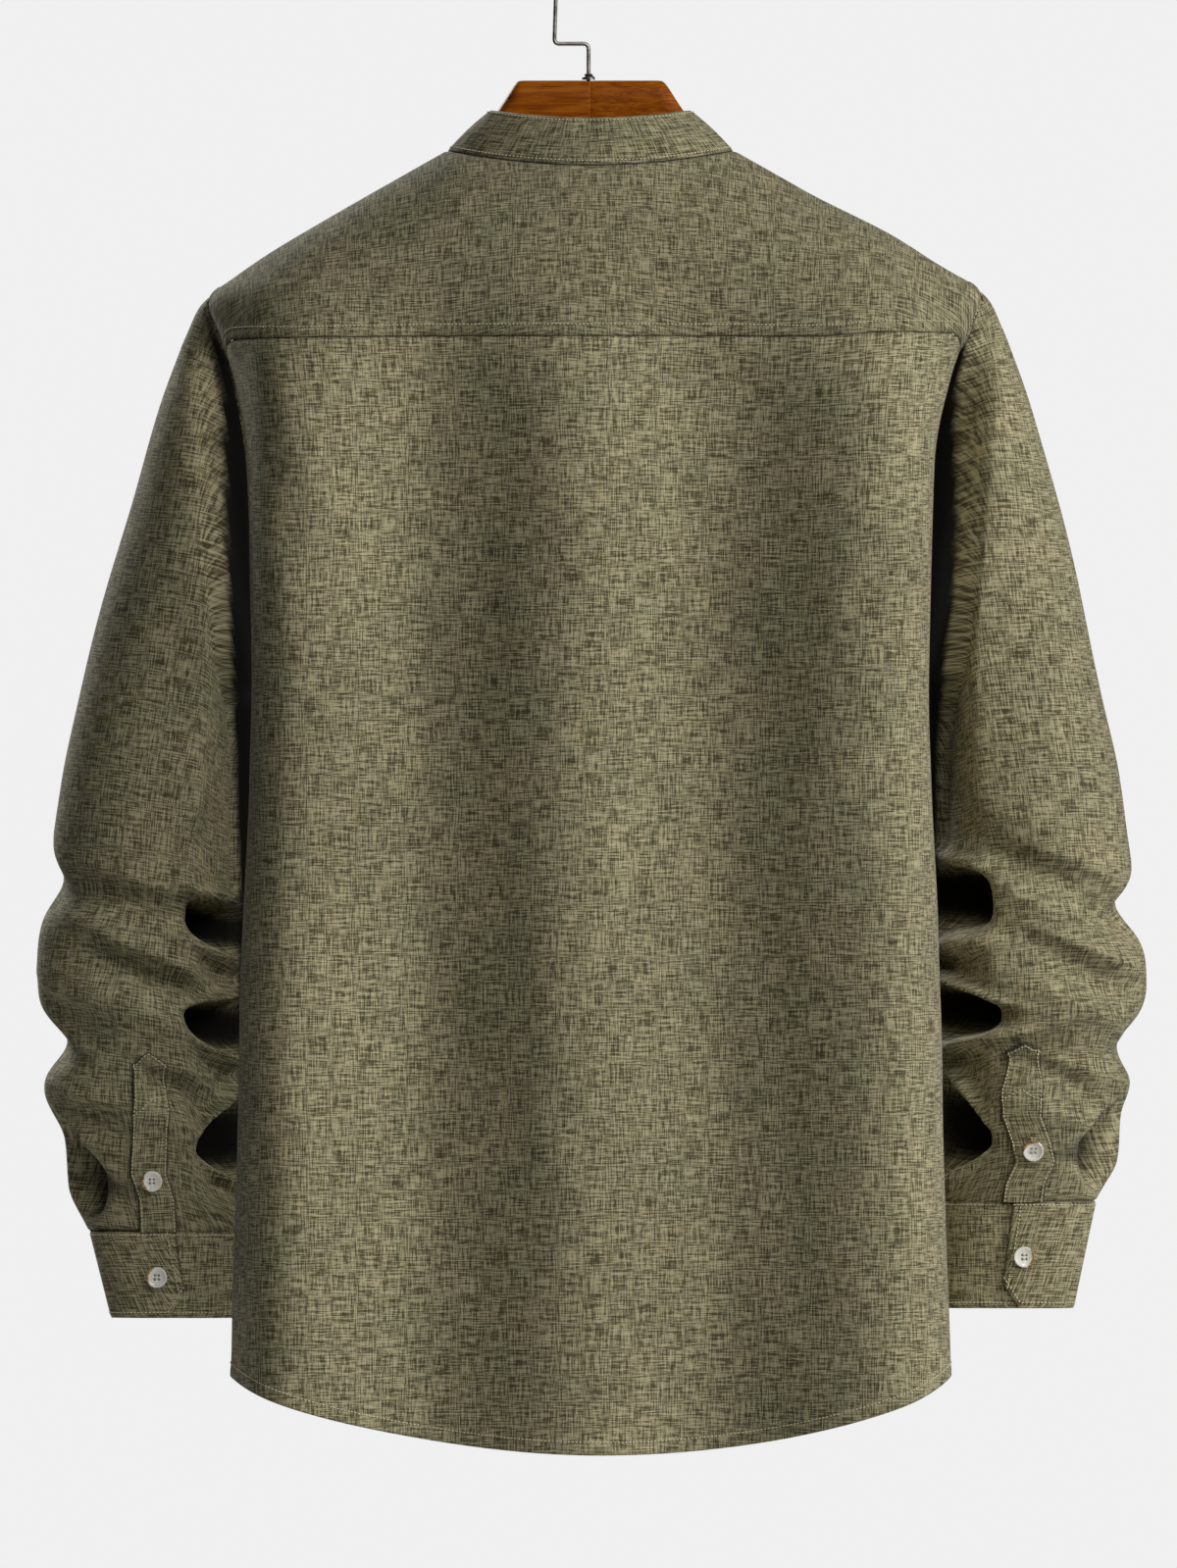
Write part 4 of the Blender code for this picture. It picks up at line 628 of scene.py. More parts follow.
def panel_side(up, steps, forward):
    """(turn, drop) pairs of a panel's +X edge: the side seam, then the armhole."""
    index = up * steps
    drop = HEM_SIDE_DROP + (UNDERARM_DROP - HEM_SIDE_DROP) * np.minimum(index / SIDE_STEPS, 1)
    seam = np.stack([turn_at_y(SIDE_SEAM.at("y", drop), drop), drop], -1)
    arm = armhole_edge(forward * (ARM_POINTS // 2 - (index - SIDE_STEPS)))
    return np.where((index < SIDE_STEPS)[:, None], seam, arm)


def yoke_seam(share):
    """(turn, drop) pairs of the yoke seam across the back; share runs from +X (0) to -X (1)."""
    end = armhole_edge([ARM_YOKE_BACK])[0]
    reach = np.abs(2 * share - 1)
    fall = YOKE_BOW * reach ** 2 + (1 - YOKE_BOW) * between(reach, (YOKE_BEND, 1.0))
    return np.stack([end[0] + (math.pi - 2 * end[0]) * share,
                     YOKE_SEAM_DROP + (end[1] - YOKE_SEAM_DROP) * fall], -1)


def hem_edge(turns, middle_drop):
    """(turn, drop) pairs of the shirt-tail hem between two side seams."""
    x = section_share(turns, squareness(np.sin(turns) >= 0, HEM_SIDE_DROP))[0]
    x = x / np.abs(x).max()
    share = np.abs(x + HEM_SHIFT * (1 - x * x))
    fall = HEM_BOW * share ** 2 + (1 - HEM_BOW) * share ** HEM_CORNER
    return np.stack([turns, middle_drop - (middle_drop - HEM_SIDE_DROP) * fall], -1)


def overlap_lift(side, x):
    """How far the left front and the collar's left end stand off the right ones."""
    if side < 0:
        return np.zeros_like(x)
    return OVERLAP_LIFT * smooth_step((OVERLAP_END - x) / (OVERLAP_END - OVERLAP))


def centre_front_angle():
    """Neck angle of the front edge, just past the centre line."""
    return -(math.pi / 2 + math.asin(OVERLAP / BODY.at("half_width", NECK_SIDE_DROP)))


def front_inner_edge(up):
    """(turn, drop) pairs of the front edge from the hem, then round the neck to the shoulder."""
    straight = (FRONT_STEPS - NECK_FRONT_STEPS) / FRONT_STEPS
    top = neck_drop(centre_front_angle())
    rise = np.clip(1 - up / straight, 0, 1) ** FRONT_EDGE_SPACING
    drop = top + (HEM_FRONT_DROP - top) * rise
    edge = np.stack([-turn_at_x(np.full(len(up), -OVERLAP), drop, False), drop], -1)
    share = np.clip((up - straight) / (1 - straight), 0, 1)
    neck = neck_edge(centre_front_angle() + (-NECK_FRONT_SEAM - centre_front_angle()) * share)
    return np.where((up < straight)[:, None], edge, neck)


def front_grid(across, up):
    """(turn, drop) grid of the left front, from its side seam to the front edge."""
    left, right = panel_side(up, FRONT_STEPS, -1), front_inner_edge(up)
    bottom = hem_edge(left[0, 0] + (right[0, 0] - left[0, 0]) * across, HEM_FRONT_DROP)
    bottom[-1] = right[0]
    top = left[-1] + (right[-1] - left[-1]) * across[:, None]
    return patch(bottom, top, left, right, across, up)


def back_grid(across, up):
    """(turn, drop) grid of the back, from the +X side, hem to yoke seam."""
    left = panel_side(up, BACK_STEPS, 1)
    bottom = hem_edge(left[0, 0] + (math.pi - 2 * left[0, 0]) * across, HEM_BACK_DROP)
    return patch(bottom, yoke_seam(across), left, mirrored(left), across, up)


def yoke_grid(steps, up):
    """(turn, drop) grid of the yoke. Steps run round its outer edge: the +X armhole's front part,
    its back part, the seam over the back, and the -X armhole."""
    first, last = ARM_YOKE_FRONT + ARM_YOKE_BACK, ARM_YOKE_FRONT + ARM_YOKE_BACK + YOKE_BACK_STEPS
    share = np.clip((steps - first) / YOKE_BACK_STEPS, 0, 1)
    near = armhole_edge(np.minimum(steps, first) - ARM_YOKE_FRONT)
    far = mirrored(armhole_edge(np.minimum(first + last - steps, first) - ARM_YOKE_FRONT))
    outer = np.where((steps < first)[:, None], near, yoke_seam(share))
    outer = np.where((steps > last)[:, None], far, outer)
    side = np.interp(np.minimum(steps, first + last - steps), [0, ARM_YOKE_FRONT, first],
                     [-NECK_FRONT_SEAM, 0, NECK_YOKE_SIDE])
    middle = NECK_YOKE_SIDE + (math.pi - 2 * NECK_YOKE_SIDE) * share
    angle = np.where(steps < first, side, np.where(steps > last, math.pi - side, middle))
    inner = neck_edge(angle)
    return (1 - up[:, None, None]) * outer[None] + up[:, None, None] * inner[None]


def collar_top(angles):
    """The collar's top edge, above the neck seam's points."""
    c, s = np.cos(angles), np.sin(angles)
    back = s >= 0
    y = np.where(back, COLLAR_BACK_Y, COLLAR_FRONT_Y) * s
    drop = np.where(back, COLLAR_SIDE_DROP + (COLLAR_BACK_DROP - COLLAR_SIDE_DROP) * s * s,
                    COLLAR_SIDE_DROP + (COLLAR_FRONT_DROP - COLLAR_SIDE_DROP)
                    * np.abs(s) ** NECK_CURVE)
    return np.stack([COLLAR_HALF_WIDTH * c, y, -drop], -1)


def cuff_fit(side, run):
    """How far a ring of the sleeve is moved so that the last one meets its cuff."""
    share = smooth_step((run - SLEEVE_CUFF_RUN) / (SLEEVE_LAST_RUN - SLEEVE_CUFF_RUN))
    cuff = CUFFS[side]
    last = {name: SLEEVE.columns[name][-1] for name in SLEEVE.columns}
    return {
        "outer_x": share * (cuff["top_outer"] - last["outer_x"]),
        "inner_x": share * (cuff["top_inner"] - last["inner_x"]),
        "outer_drop": share * (cuff["top_drop"] - last["outer_drop"]),
        "inner_drop": share * (cuff["top_drop"] - last["inner_drop"]),
    }


def sleeve_ring(side, run, angle):
    """A point of the sleeve without its creases, in the left sleeve's frame, and its centre."""
    fit = cuff_fit(side, run)
    ends = {name: SLEEVE.at(name, run) + fit[name] for name in fit}
    outer = np.stack([ends["outer_x"], 0 * run, -ends["outer_drop"]], -1)
    inner = np.stack([ends["inner_x"], 0 * run, -ends["inner_drop"]], -1)
    centre = (outer + inner) / 2
    centre[..., 1] = SLEEVE.at("centre_y", run)
    along, across = section_share(angle, SLEEVE_SQUARENESS)
    point = centre + along[..., None] * (outer - inner) / 2
    point[..., 1] += across * SLEEVE.at("half_depth", run)
    return point, centre


def crease_cuts(side, drop, angle):
    """Each crease's row, its share of its depth at a place on the sleeve, and how far its painted
    shade reaches.
    """
    for row in CREASES[side]:
        crease = dict(zip(CREASE_COLUMNS.split(), row))
        off = angle - math.radians(crease["angle"])
        off = (off + math.pi) % (2 * math.pi) - math.pi
        share = off / math.radians(crease["half_angle"])
        below = drop - crease["drop"] - crease["slant"] * off
        room = crease["half_height"] * np.clip(1 + crease["taper"] * share, *TAPER_LIMITS)
        height = np.abs(below) / (room * (1 + crease["skew"] * np.sign(below)))
        spread_out = np.exp(-share ** 2)
        profile = np.exp(-height ** crease["edge"])
        lip = crease["lip"] * np.exp(-((height - LIP_PLACE) / LIP_WIDTH) ** 2)
        shaded = profile * np.exp(-(share * np.where(share > 0, SHADE_BEYOND, 1)) ** 2)
        yield crease, spread_out * (profile - lip), shaded


def crease_depth(side, drop, angle):
    """How deep the creases cut into the sleeve at a place on it."""
    return sum(crease["depth"] * cut for crease, cut, _ in crease_cuts(side, drop, angle))


def painted_sleeve_shade(side, point, angle):
    """Painted shade on the sleeve, from 0 to 1: deep in creases and in the gap behind the body."""
    lit = np.ones(angle.shape)
    drop = -point[..., 2]
    for crease, _, shaded in crease_cuts(side, drop, angle):
        lit = lit * (1 - crease["shade"] * between(shaded, SHADE_PROFILE))
    edge = np.interp(drop, *zip(*GAP_EDGE[side]))
    behind = 1 - between(side * point[..., 0] - edge, SHADE_GAP)
    behind = behind * between(np.sin(angle), SHADE_BACK)
    return 1 - lit * (1 - behind * between(drop, SHADE_DROP))


def sleeve_point(side, run, angle):
    """A point of a sleeve's outer face. Side is +1 for the left sleeve and -1 for the right."""
    run, angle = np.broadcast_arrays(np.asarray(run, float), np.asarray(angle, float))
    point, centre = sleeve_ring(side, run, angle)
    edge = armhole_edge(angle * ARM_POINTS / (2 * math.pi))
    first = sleeve_ring(side, np.zeros_like(run), angle)[0]
    fade = 1 - smooth_step(run / ARMHOLE_FADE_RUN)
    point = point + (body_form(edge[..., 0], edge[..., 1]) - first) * fade[..., None]
    beside = 1 - between(point[..., 0] - BODY.at("half_width", -point[..., 2]), SLEEVE_TUCK_X)
    behind = between(point[..., 1] - centre[..., 1], SLEEVE_TUCK_Y)
    along = between(run, SLEEVE_TUCK_START) * (1 - between(run, SLEEVE_TUCK_END))
    point[..., 0] += SLEEVE_TUCK * beside * behind * along
    drop = -point[..., 2]
    close = 1 - between(point[..., 0] - BODY.at("half_width", drop), SLEEVE_CLOSE_X)
    high = np.exp(-((drop - SLEEVE_CLOSE_DROP) / SLEEVE_CLOSE_HALF) ** 2)
    point[..., 0] -= SLEEVE_CLOSE * close * high
    cut = crease_depth(side, drop, angle)
    cut = cut * between(CUFFS[side]["top_drop"] + point[..., 2], CREASE_END)
    towards = centre - point
    towards[..., 2] *= CREASE_TILT
    point = point + cut[..., None] * unit(towards)
    point[..., 0] *= side
    return uneven(point)


def sleeve_normal(side, run, angle):
    """The outward direction of a sleeve's surface."""
    run = np.asarray(run, float)
    ahead = np.minimum(run + SMALL_STEP, SLEEVE_LAST_RUN)
    behind = np.maximum(run - SMALL_STEP, 0)
    down = sleeve_point(side, ahead, angle) - sleeve_point(side, behind, angle)
    around = (sleeve_point(side, run, angle + SMALL_STEP)
              - sleeve_point(side, run, angle - SMALL_STEP))
    return side * unit(np.cross(down, around))


def cuff_point(side, angle, share, lift):
    """A point of a cuff's outer face; share is 0 at its bottom edge and 1 at its seam."""
    cuff = CUFFS[side]
    outer = cuff["bottom_outer"] + (cuff["top_outer"] - cuff["bottom_outer"]) * share
    inner = cuff["bottom_inner"] + (cuff["top_inner"] - cuff["bottom_inner"]) * share
    depth = CUFF_BOTTOM_HALF_DEPTH + (CUFF_TOP_HALF_DEPTH - CUFF_BOTTOM_HALF_DEPTH) * share
    drop = cuff["bottom_drop"] + (cuff["top_drop"] - cuff["bottom_drop"]) * share
    along, across = section_share(angle, SLEEVE_SQUARENESS)
    half = (outer - inner) / 2
    out = unit(np.stack([np.sign(along) * np.abs(along) ** (SLEEVE_SQUARENESS - 1) / half,
                         np.sign(across) * np.abs(across) ** (SLEEVE_SQUARENESS - 1) / depth], -1))
    x = (outer + inner) / 2 + along * half + out[..., 0] * lift
    y = CUFF_Y + across * depth + out[..., 1] * lift
    return np.stack([side * x, y, -drop + 0 * x], -1)


def sleeve_back_angle(side, run, x):
    """The angle, near 90 degrees, at which the sleeve's back has this distance from the middle."""
    fit = cuff_fit(side, run)
    outer = SLEEVE.at("outer_x", run) + fit["outer_x"]
    inner = SLEEVE.at("inner_x", run) + fit["inner_x"]
    share = (x - (outer + inner) / 2) / ((outer - inner) / 2)
    return math.pi / 2 - np.arcsin(share)


def placket_point(side, across, up, stand):
    """A point over the sleeve's back: across from -1 (outer edge) to 1, up from 0 to 1."""
    spec = PLACKETS[side]
    runs = np.linspace(SLEEVE_CUFF_RUN, SLEEVE_LAST_RUN, SEARCH_STEPS)
    drops = -sleeve_point(side, runs, np.full(SEARCH_STEPS, math.pi / 2))[:, 2]
    top_run = np.interp(spec["tip_drop"], drops, runs)
    height = SLEEVE.at("outer_drop", SLEEVE_LAST_RUN) - spec["tip_drop"]
    last = SLEEVE_LAST_RUN - PLACKET_END_RUN
    run = last + (top_run - last) * up * (1 - PLACKET_TIP_RISE * np.abs(across) / height)
    x = spec["centre"][1] + (spec["centre"][0] - spec["centre"][1]) * up
    x = x + np.interp(up, *zip(*PLACKET_SWAY[side]))
    x = x - across * spec["width"] / 2
    angle = sleeve_back_angle(side, run, x)
    return sleeve_point(side, run, angle) + stand * sleeve_normal(side, run, angle)


# ================================================================ cloth helpers
def length_from(grid, edge):
    """How far each point of a grid is from one of its edges, along the grid."""
    axis = 1 if edge in ("left", "right") else 0
    steps = np.linalg.norm(np.diff(grid, axis=axis), axis=-1)
    start = np.zeros_like(np.take(steps, [0], axis=axis))
    run = np.concatenate([start, np.cumsum(steps, axis=axis)], axis=axis)
    return run if edge in ("left", "bottom") else np.take(run, [-1], axis=axis) - run


def rolled(grid, normals, edges, depth=SEAM_ROLL_DEPTH, width=SEAM_ROLL_WIDTH):
    """The grid with the named edges turned in, as cloth is beside its seams."""
    for edge in edges:
        near = 1 - smooth_step(length_from(grid, edge) / width)
        grid = grid - (depth * near)[..., None] * normals
    return grid


def cut_back(grid, edges):
    """The grid with the named edges moved in by half a seam's gap."""
    grid = grid.copy()
    across = np.swapaxes(grid, 0, 1)
    for edge, rows in (("left", across), ("right", across[::-1]), ("bottom", grid),
                       ("top", grid[::-1])):
        if edge in edges:
            rows[0] += SEAM_GAP / 2 * unit(rows[1] - rows[0])
    return grid


def painted_seam_shade(grid, edges, strength=SEAM_SHADE):
    """Painted shade on the cloth beside its sewn edges."""
    shade = np.zeros(grid.shape[:2])
    for edge in edges:
        near = 1 - between(length_from(grid, edge), (0, SEAM_SHADE_WIDTH))
        shade = np.maximum(shade, strength * near)
    return shade


def around_length(grid, middle):
    """Level length along each row, from a middle column."""
    steps = np.linalg.norm(np.diff(grid[..., :2], axis=1), axis=-1)
    run = np.concatenate([np.zeros((len(grid), 1)), np.cumsum(steps, axis=1)], axis=1)
    return run - run[:, [middle]]


def new_piece(name, points, faces, smooth=True):
    """A mesh object at the origin, in the scene's own collection."""
    mesh = bpy.data.meshes.new(name)
    mesh.from_pydata(np.asarray(points, float).reshape(-1, 3).tolist(), [], faces)
    mesh.polygons.foreach_set("use_smooth", [smooth] * len(mesh.polygons))
    item = bpy.data.objects.new(name, mesh)
    bpy.context.scene.collection.objects.link(item)
    return item


def cloth_piece(name, grid, normals, weave, thickness, shade, round_tube=False, look="cloth"):
    """A cloth shell from a grid of outer points, with UV maps of its weave and its painted shade.
    """
    rows, columns = grid.shape[:2]
    across = columns if round_tube else columns - 1
    row, column = np.meshgrid(np.arange(rows - 1), np.arange(across), indexing="ij")
    row, column = row.ravel(), column.ravel()
    corners = [(row, column), (row, column + 1), (row + 1, column + 1), (row + 1, column)]
    facing = np.cross(grid[:-1, 1:] - grid[:-1, :-1], grid[1:, :-1] - grid[:-1, :-1])
    if np.sum(facing * normals[:-1, :-1]) < 0:
        corners.reverse()
    faces = np.stack([r * columns + c % columns for r, c in corners], -1)
    item = new_piece(name, grid, faces.tolist())
    for map_name, values in ((WEAVE_MAP, weave), (SHADE_MAP, np.stack([shade, 0 * shade], -1))):
        layer = item.data.uv_layers.new(name=map_name)
        places = np.stack([values[r, c] for r, c in corners], 1)
        layer.data.foreach_set("uv", places.astype(np.float32).ravel())
    item.data.uv_layers[WEAVE_MAP].active = True
    wall = item.modifiers.new("wall", "SOLIDIFY")
    wall.thickness = thickness
    wall.offset = -1
    wall.use_quality_normals = True
    item.data.materials.append(finish(look))
    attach(item, "root")
    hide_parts(name)
    PIECES[name] = (grid, normals)
    return item


def on_line(at, run, points):
    """Points at given lengths along a line of points."""
    return np.stack([np.interp(at, run, points[:, k]) for k in range(3)], -1)


def edge_line(name, edge, inset):
    """Points and normals a set distance in from an edge of a cloth piece."""
    grid, normals = PIECES[name]
    run = length_from(grid, edge)
    if edge in ("left", "right"):
        grid, normals, run = (np.swapaxes(a, 0, 1) for a in (grid, normals, run))
    if edge in ("right", "top"):
        grid, normals, run = grid[::-1], normals[::-1], run[::-1]
    points, outs = (np.stack([on_line(inset, run[:, column], source[:, column])
                              for column in range(grid.shape[1])]) for source in (grid, normals))
    return points, unit(outs)


# ================================================================ small shapes made by hand
def clear_selection():
    """Object mode with nothing selected."""
    if bpy.context.mode != "OBJECT":
        bpy.ops.object.mode_set(mode="OBJECT")
    bpy.ops.object.select_all(action="DESELECT")


def take_active(name):
    """The active object, named and with its place put into its mesh."""
    item = bpy.context.active_object
    item.name = item.data.name = name
    bpy.ops.object.transform_apply(location=True, rotation=True, scale=True)
    return item


def edit_faces(item, chosen):
    """Edit mode with the faces selected whose centre and normal pass a test."""
    for vertex in item.data.vertices:
        vertex.select = False
    for edge in item.data.edges:
        edge.select = False
    for face in item.data.polygons:
        face.select = bool(chosen(face.center, face.normal))
    bpy.ops.object.mode_set(mode="EDIT")
    bpy.ops.mesh.select_mode(type="FACE")


def apply_modifier(item, kind, **settings):
    """The active object with a modifier's settings put into its mesh."""
    modifier = item.modifiers.new(kind, kind)
    for key, value in settings.items():
        setattr(modifier, key, value)
    bpy.ops.object.modifier_apply(modifier=modifier.name)


def remove_shape(item):
    mesh = item.data
    bpy.data.objects.remove(item, do_unlink=True)
    bpy.data.meshes.remove(mesh)


def copy_shape(item):
    """A shape's points and faces as arrays, and the shape removed."""
    points = np.array([tuple(v.co) for v in item.data.vertices])
    faces = [list(face.vertices) for face in item.data.polygons]
    remove_shape(item)
    return points, faces


def stitch_shape():
    """One stitch along X, a unit long and a unit thick: a short thread pinched at its ends."""
    clear_selection()
    bpy.ops.mesh.primitive_cylinder_add(vertices=6, radius=0.5, depth=STITCH_BODY,
                                        end_fill_type="NGON",
                                        rotation=(0, math.pi / 2, 0))
    item = take_active("stitch")
    for end in (-1, 1):
        edit_faces(item, lambda centre, normal: normal.x * end > FACING)
        bpy.ops.mesh.extrude_region_move(
            TRANSFORM_OT_translate={"value": (STITCH_END * end, 0, 0)})
        bpy.ops.transform.resize(value=(1, STITCH_PINCH, STITCH_PINCH))
        bpy.ops.object.mode_set(mode="OBJECT")
    return copy_shape(item)


def sewing(name, lines, pitch, length, width, sink=STITCH_SINK):
    """Stitches along lines of points and normals, joined as one piece of thread."""
    shape, faces = stitch_shape()
    points, polygons = [], []
    for line, outs in lines:
        run = np.concatenate([[0], np.cumsum(np.linalg.norm(np.diff(line, axis=0), axis=1))])
        count = max(1, int(run[-1] / pitch))
        places = (np.arange(count) + 0.5) * run[-1] / count
        centre, out = on_line(places, run, line), on_line(places, run, outs)
        along = unit(on_line(places + pitch / 4, run, line)
                     - on_line(places - pitch / 4, run, line))
        beside = unit(np.cross(out, along))
        out = np.cross(along, beside)
        for i in range(count):
            axes = np.stack([along[i] * length, beside[i] * width, out[i] * width])
            base = len(points) * len(shape)
            points.append(shape @ axes + centre[i] + out[i] * width * (0.5 - sink))
            polygons += [[base + v for v in face] for face in faces]
    item = new_piece(name, np.concatenate(points), polygons)
    item.data.materials.append(finish("thread"))
    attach(item, "root")
    return item


# ================================================================ materials
SOCKETS = {"rough": "Roughness", "specular": "Specular IOR Level", "sheen": "Sheen Weight",
           "sheen_rough": "Sheen Roughness", "coat": "Coat Weight",
           "coat_rough": "Coat Roughness", "metal": "Metallic"}


class Finish:
    """A new material, and short ways to add nodes to it."""

    def __init__(self, name):
        self.material = bpy.data.materials.new(name)
        self.material.use_nodes = True
        self.tree = self.material.node_tree
        self.shader = self.tree.nodes["Principled BSDF"]

    def fill(self, socket, value):
        """Link an input to another node's socket, or set its value."""
        if isinstance(value, bpy.types.NodeSocket):
            self.tree.links.new(value, socket)
        else:
            socket.default_value = value

    def add(self, kind, inputs=None, **settings):
        node = self.tree.nodes.new(kind)
        for key, value in settings.items():
            setattr(node, key, value)
        for key, value in (inputs or {}).items():
            self.fill(node.inputs[key], value)
        return node

    def on_object(self):
        return self.add("ShaderNodeTexCoord").outputs["Object"]

    def noise(self, place, scale, detail, inputs=None, **settings):
        return self.add("ShaderNodeTexNoise", {"Vector": place, "Scale": scale, "Detail": detail,
                                               **(inputs or {})}, **settings).outputs["Fac"]

    def math(self, operation, *values, **settings):
        return self.add("ShaderNodeMath", dict(enumerate(values)), operation=operation,
                        **settings).outputs[0]

    def ramp(self, factor, *stops):
        """A colour ramp with (place, colour) stops."""
        node = self.add("ShaderNodeValToRGB", {"Fac": factor})
        elements = node.color_ramp.elements
        while len(elements) < len(stops):
            elements.new(0.5)
        for element, (place, colour) in zip(elements, stops):
            element.position = place
            element.color = (*colour, 1.0)
        return node.outputs["Color"]

    def mix(self, factor, first, second, blend="MIX"):
        """Two colours mixed by a factor."""
        return self.add("ShaderNodeMix", {0: factor, 6: first, 7: second}, data_type="RGBA",
                        blend_type=blend).outputs[2]

    def done(self, colour, bump=None, **values):
        """The material, with its colour, its bump (height, strength, distance) and the rest."""
        self.fill(self.shader.inputs["Base Color"], colour)
        if bump:
            raised = self.add("ShaderNodeBump", dict(zip(("Height", "Strength", "Distance"), bump)))
            self.fill(self.shader.inputs["Normal"], raised.outputs["Normal"])
        for name, value in values.items():
            self.fill(self.shader.inputs[SOCKETS[name]], value)
        return self.material


def dimmed(colour, share):
    return tuple(part * share for part in colour)


def cloth_finish(name="slub_cotton", tone=1.0):
    """Slubbed khaki cotton: uneven threads both ways, with greyer and greener patches, and painted
    shade where the shade map marks creases, the gap beside the body and seams.
    """
    look = bpy.context.scene.shirt_cloth
    made = Finish(name)
    place = made.add("ShaderNodeUVMap", uv_map=WEAVE_MAP).outputs["UV"]

    def threads(across, along, detail, moved=0.0):
        """Streaks with these rates, moved so that no two layers match."""
        spot = made.add("ShaderNodeMapping", {"Vector": place, "Scale": (across, along, 1.0),
                                              "Location": (moved, moved, 0.0)})
        return made.noise(spot.outputs["Vector"], 1.0, detail, {"Roughness": 0.55},
                          noise_dimensions="2D")

    def blend(first, second, share):
        return made.math("ADD", made.math("MULTIPLY", first, share),
                         made.math("MULTIPLY", second, 1 - share))

    gap, slub, patch_rate = 1 / look.thread_gap, 1 / look.slub_length, look.patch_rate
    coarse = blend(threads(gap, slub, 2.0), threads(slub, gap, 2.0, 7.3), 0.48)
    gap, slub = gap * FINE_THREAD_RATE, slub * FINE_SLUB_RATE
    small = blend(threads(gap, slub, 1.0, 3.1), threads(slub, gap, 1.0, 5.7), 0.5)
    weave = blend(coarse, small, COARSE_SHARE)
    base = made.ramp(weave, (0.435, look.dark), (0.50, look.middle), (0.565, look.light))
    patches = made.math("MULTIPLY_ADD", threads(patch_rate, patch_rate, 3.0, 1.9), 2.6, -0.85,
                        use_clamp=True)
    greyer = made.mix(patches, base, (*look.patch, 1.0), "MULTIPLY")
    cloudy = threads(patch_rate * 0.35, patch_rate * 0.22, 2.0, 9.4)
    shade = made.ramp(cloudy, (0.35, (0.90 * tone,) * 3), (0.65, (1.06 * tone,) * 3))
    even = made.mix(1.0, greyer, shade, "MULTIPLY")
    # Painted shade: the shade map's U mixes the cloth's colour towards near black, deep in the
    # sleeves' creases, in the gap beside the body and beside seams.
    painted_shade = made.add("ShaderNodeSeparateXYZ", {
        "Vector": made.add("ShaderNodeUVMap", uv_map=SHADE_MAP).outputs["UV"]})
    colour = made.mix(painted_shade.outputs["X"], even, (*look.painted_shade, 1.0))
    return made.done(colour, (weave, look.weave_bump, look.weave_height), rough=0.92,
                     specular=0.22, sheen=0.12, sheen_rough=0.45)


def yoke_collar_cloth_finish():
    """The same cotton, a little darker, for the yoke and the collar."""
    return cloth_finish("slub_cotton_across", bpy.context.scene.shirt_cloth.yoke_collar_tone)


def thread_finish():
    """Sewing thread, lighter than the cloth, with the twist of its plies."""
    colour = bpy.context.scene.shirt_sewing.colour
    made = Finish("sewing_thread")
    twist = made.noise(made.on_object(), 900.0, 2.0)
    plies = made.ramp(twist, (0.3, dimmed(colour, 0.7)), (0.7, colour))
    return made.done(plies, (twist, 0.4, 0.2 * MM), rough=0.7)


def shell_finish():
    """Pearly shell in fine wavy layers, with a few brown spots."""
    look = bpy.context.scene.shirt_buttons
    made = Finish("shell_button")
    place = made.on_object()
    spots = made.noise(place, 170.0, 3.0, {"Distortion": 1.6})
    layers = made.add("ShaderNodeTexWave", {"Vector": place, "Scale": 260.0, "Distortion": 7.0,
                                            "Detail": 2.0, "Detail Scale": 1.4}).outputs["Fac"]
    pearl = made.ramp(layers, (0.0, dimmed(look.pearl, 0.86)), (1.0, look.pearl))
    brown = made.ramp(spots, (0.68, (0, 0, 0)), (0.80, (1, 1, 1)))
    return made.done(made.mix(brown, pearl, (*look.brown, 1.0)), (layers, 0.12, 0.1 * MM),
                     rough=0.22, coat=0.5, coat_rough=0.12)


def amber_finish():
    """The shell's golden brown outer layer, which shows along a part of the rim."""
    look = bpy.context.scene.shirt_buttons
    made = Finish("shell_outer_layer")
    cloud = made.noise(made.on_object(), 420.0, 3.0)
    return made.done(made.ramp(cloud, (0.35, look.brown), (0.62, look.amber)), rough=0.25,
                     coat=0.5)


def wood_finish():
    """Varnished pine in two joined halves: long even grain, and grain that slants and swirls."""
    look = bpy.context.scene.shirt_hanger
    made = Finish("varnished_wood")
    place = made.on_object()
    even = made.add("ShaderNodeMapping", {"Vector": place, "Scale": (38.0, 120.0, 420.0)})
    grain = made.noise(even.outputs["Vector"], 1.0, 4.0, {"Roughness": 0.6, "Distortion": 0.2})
    slanted = made.add("ShaderNodeMapping", {"Vector": place, "Rotation": (0.0, 0.62, 0.0),
                                             "Scale": (70.0, 120.0, 330.0)})
    swirl = made.noise(slanted.outputs["Vector"], 1.0, 5.0,
                       {"Roughness": 0.65, "Distortion": 1.4})
    x = made.add("ShaderNodeSeparateXYZ", {"Vector": place}).outputs["X"]
    streaks = made.mix(made.math("LESS_THAN", x, HOOK_STEM_X), grain, swirl)
    colour = made.ramp(streaks, (0.30, look.dark_grain), (0.50, look.varnish),
                       (0.72, look.light_grain))
    return made.done(colour, (streaks, 0.15, 0.2 * MM), rough=0.45, specular=0.06, coat=0.04,
                     coat_rough=0.20)


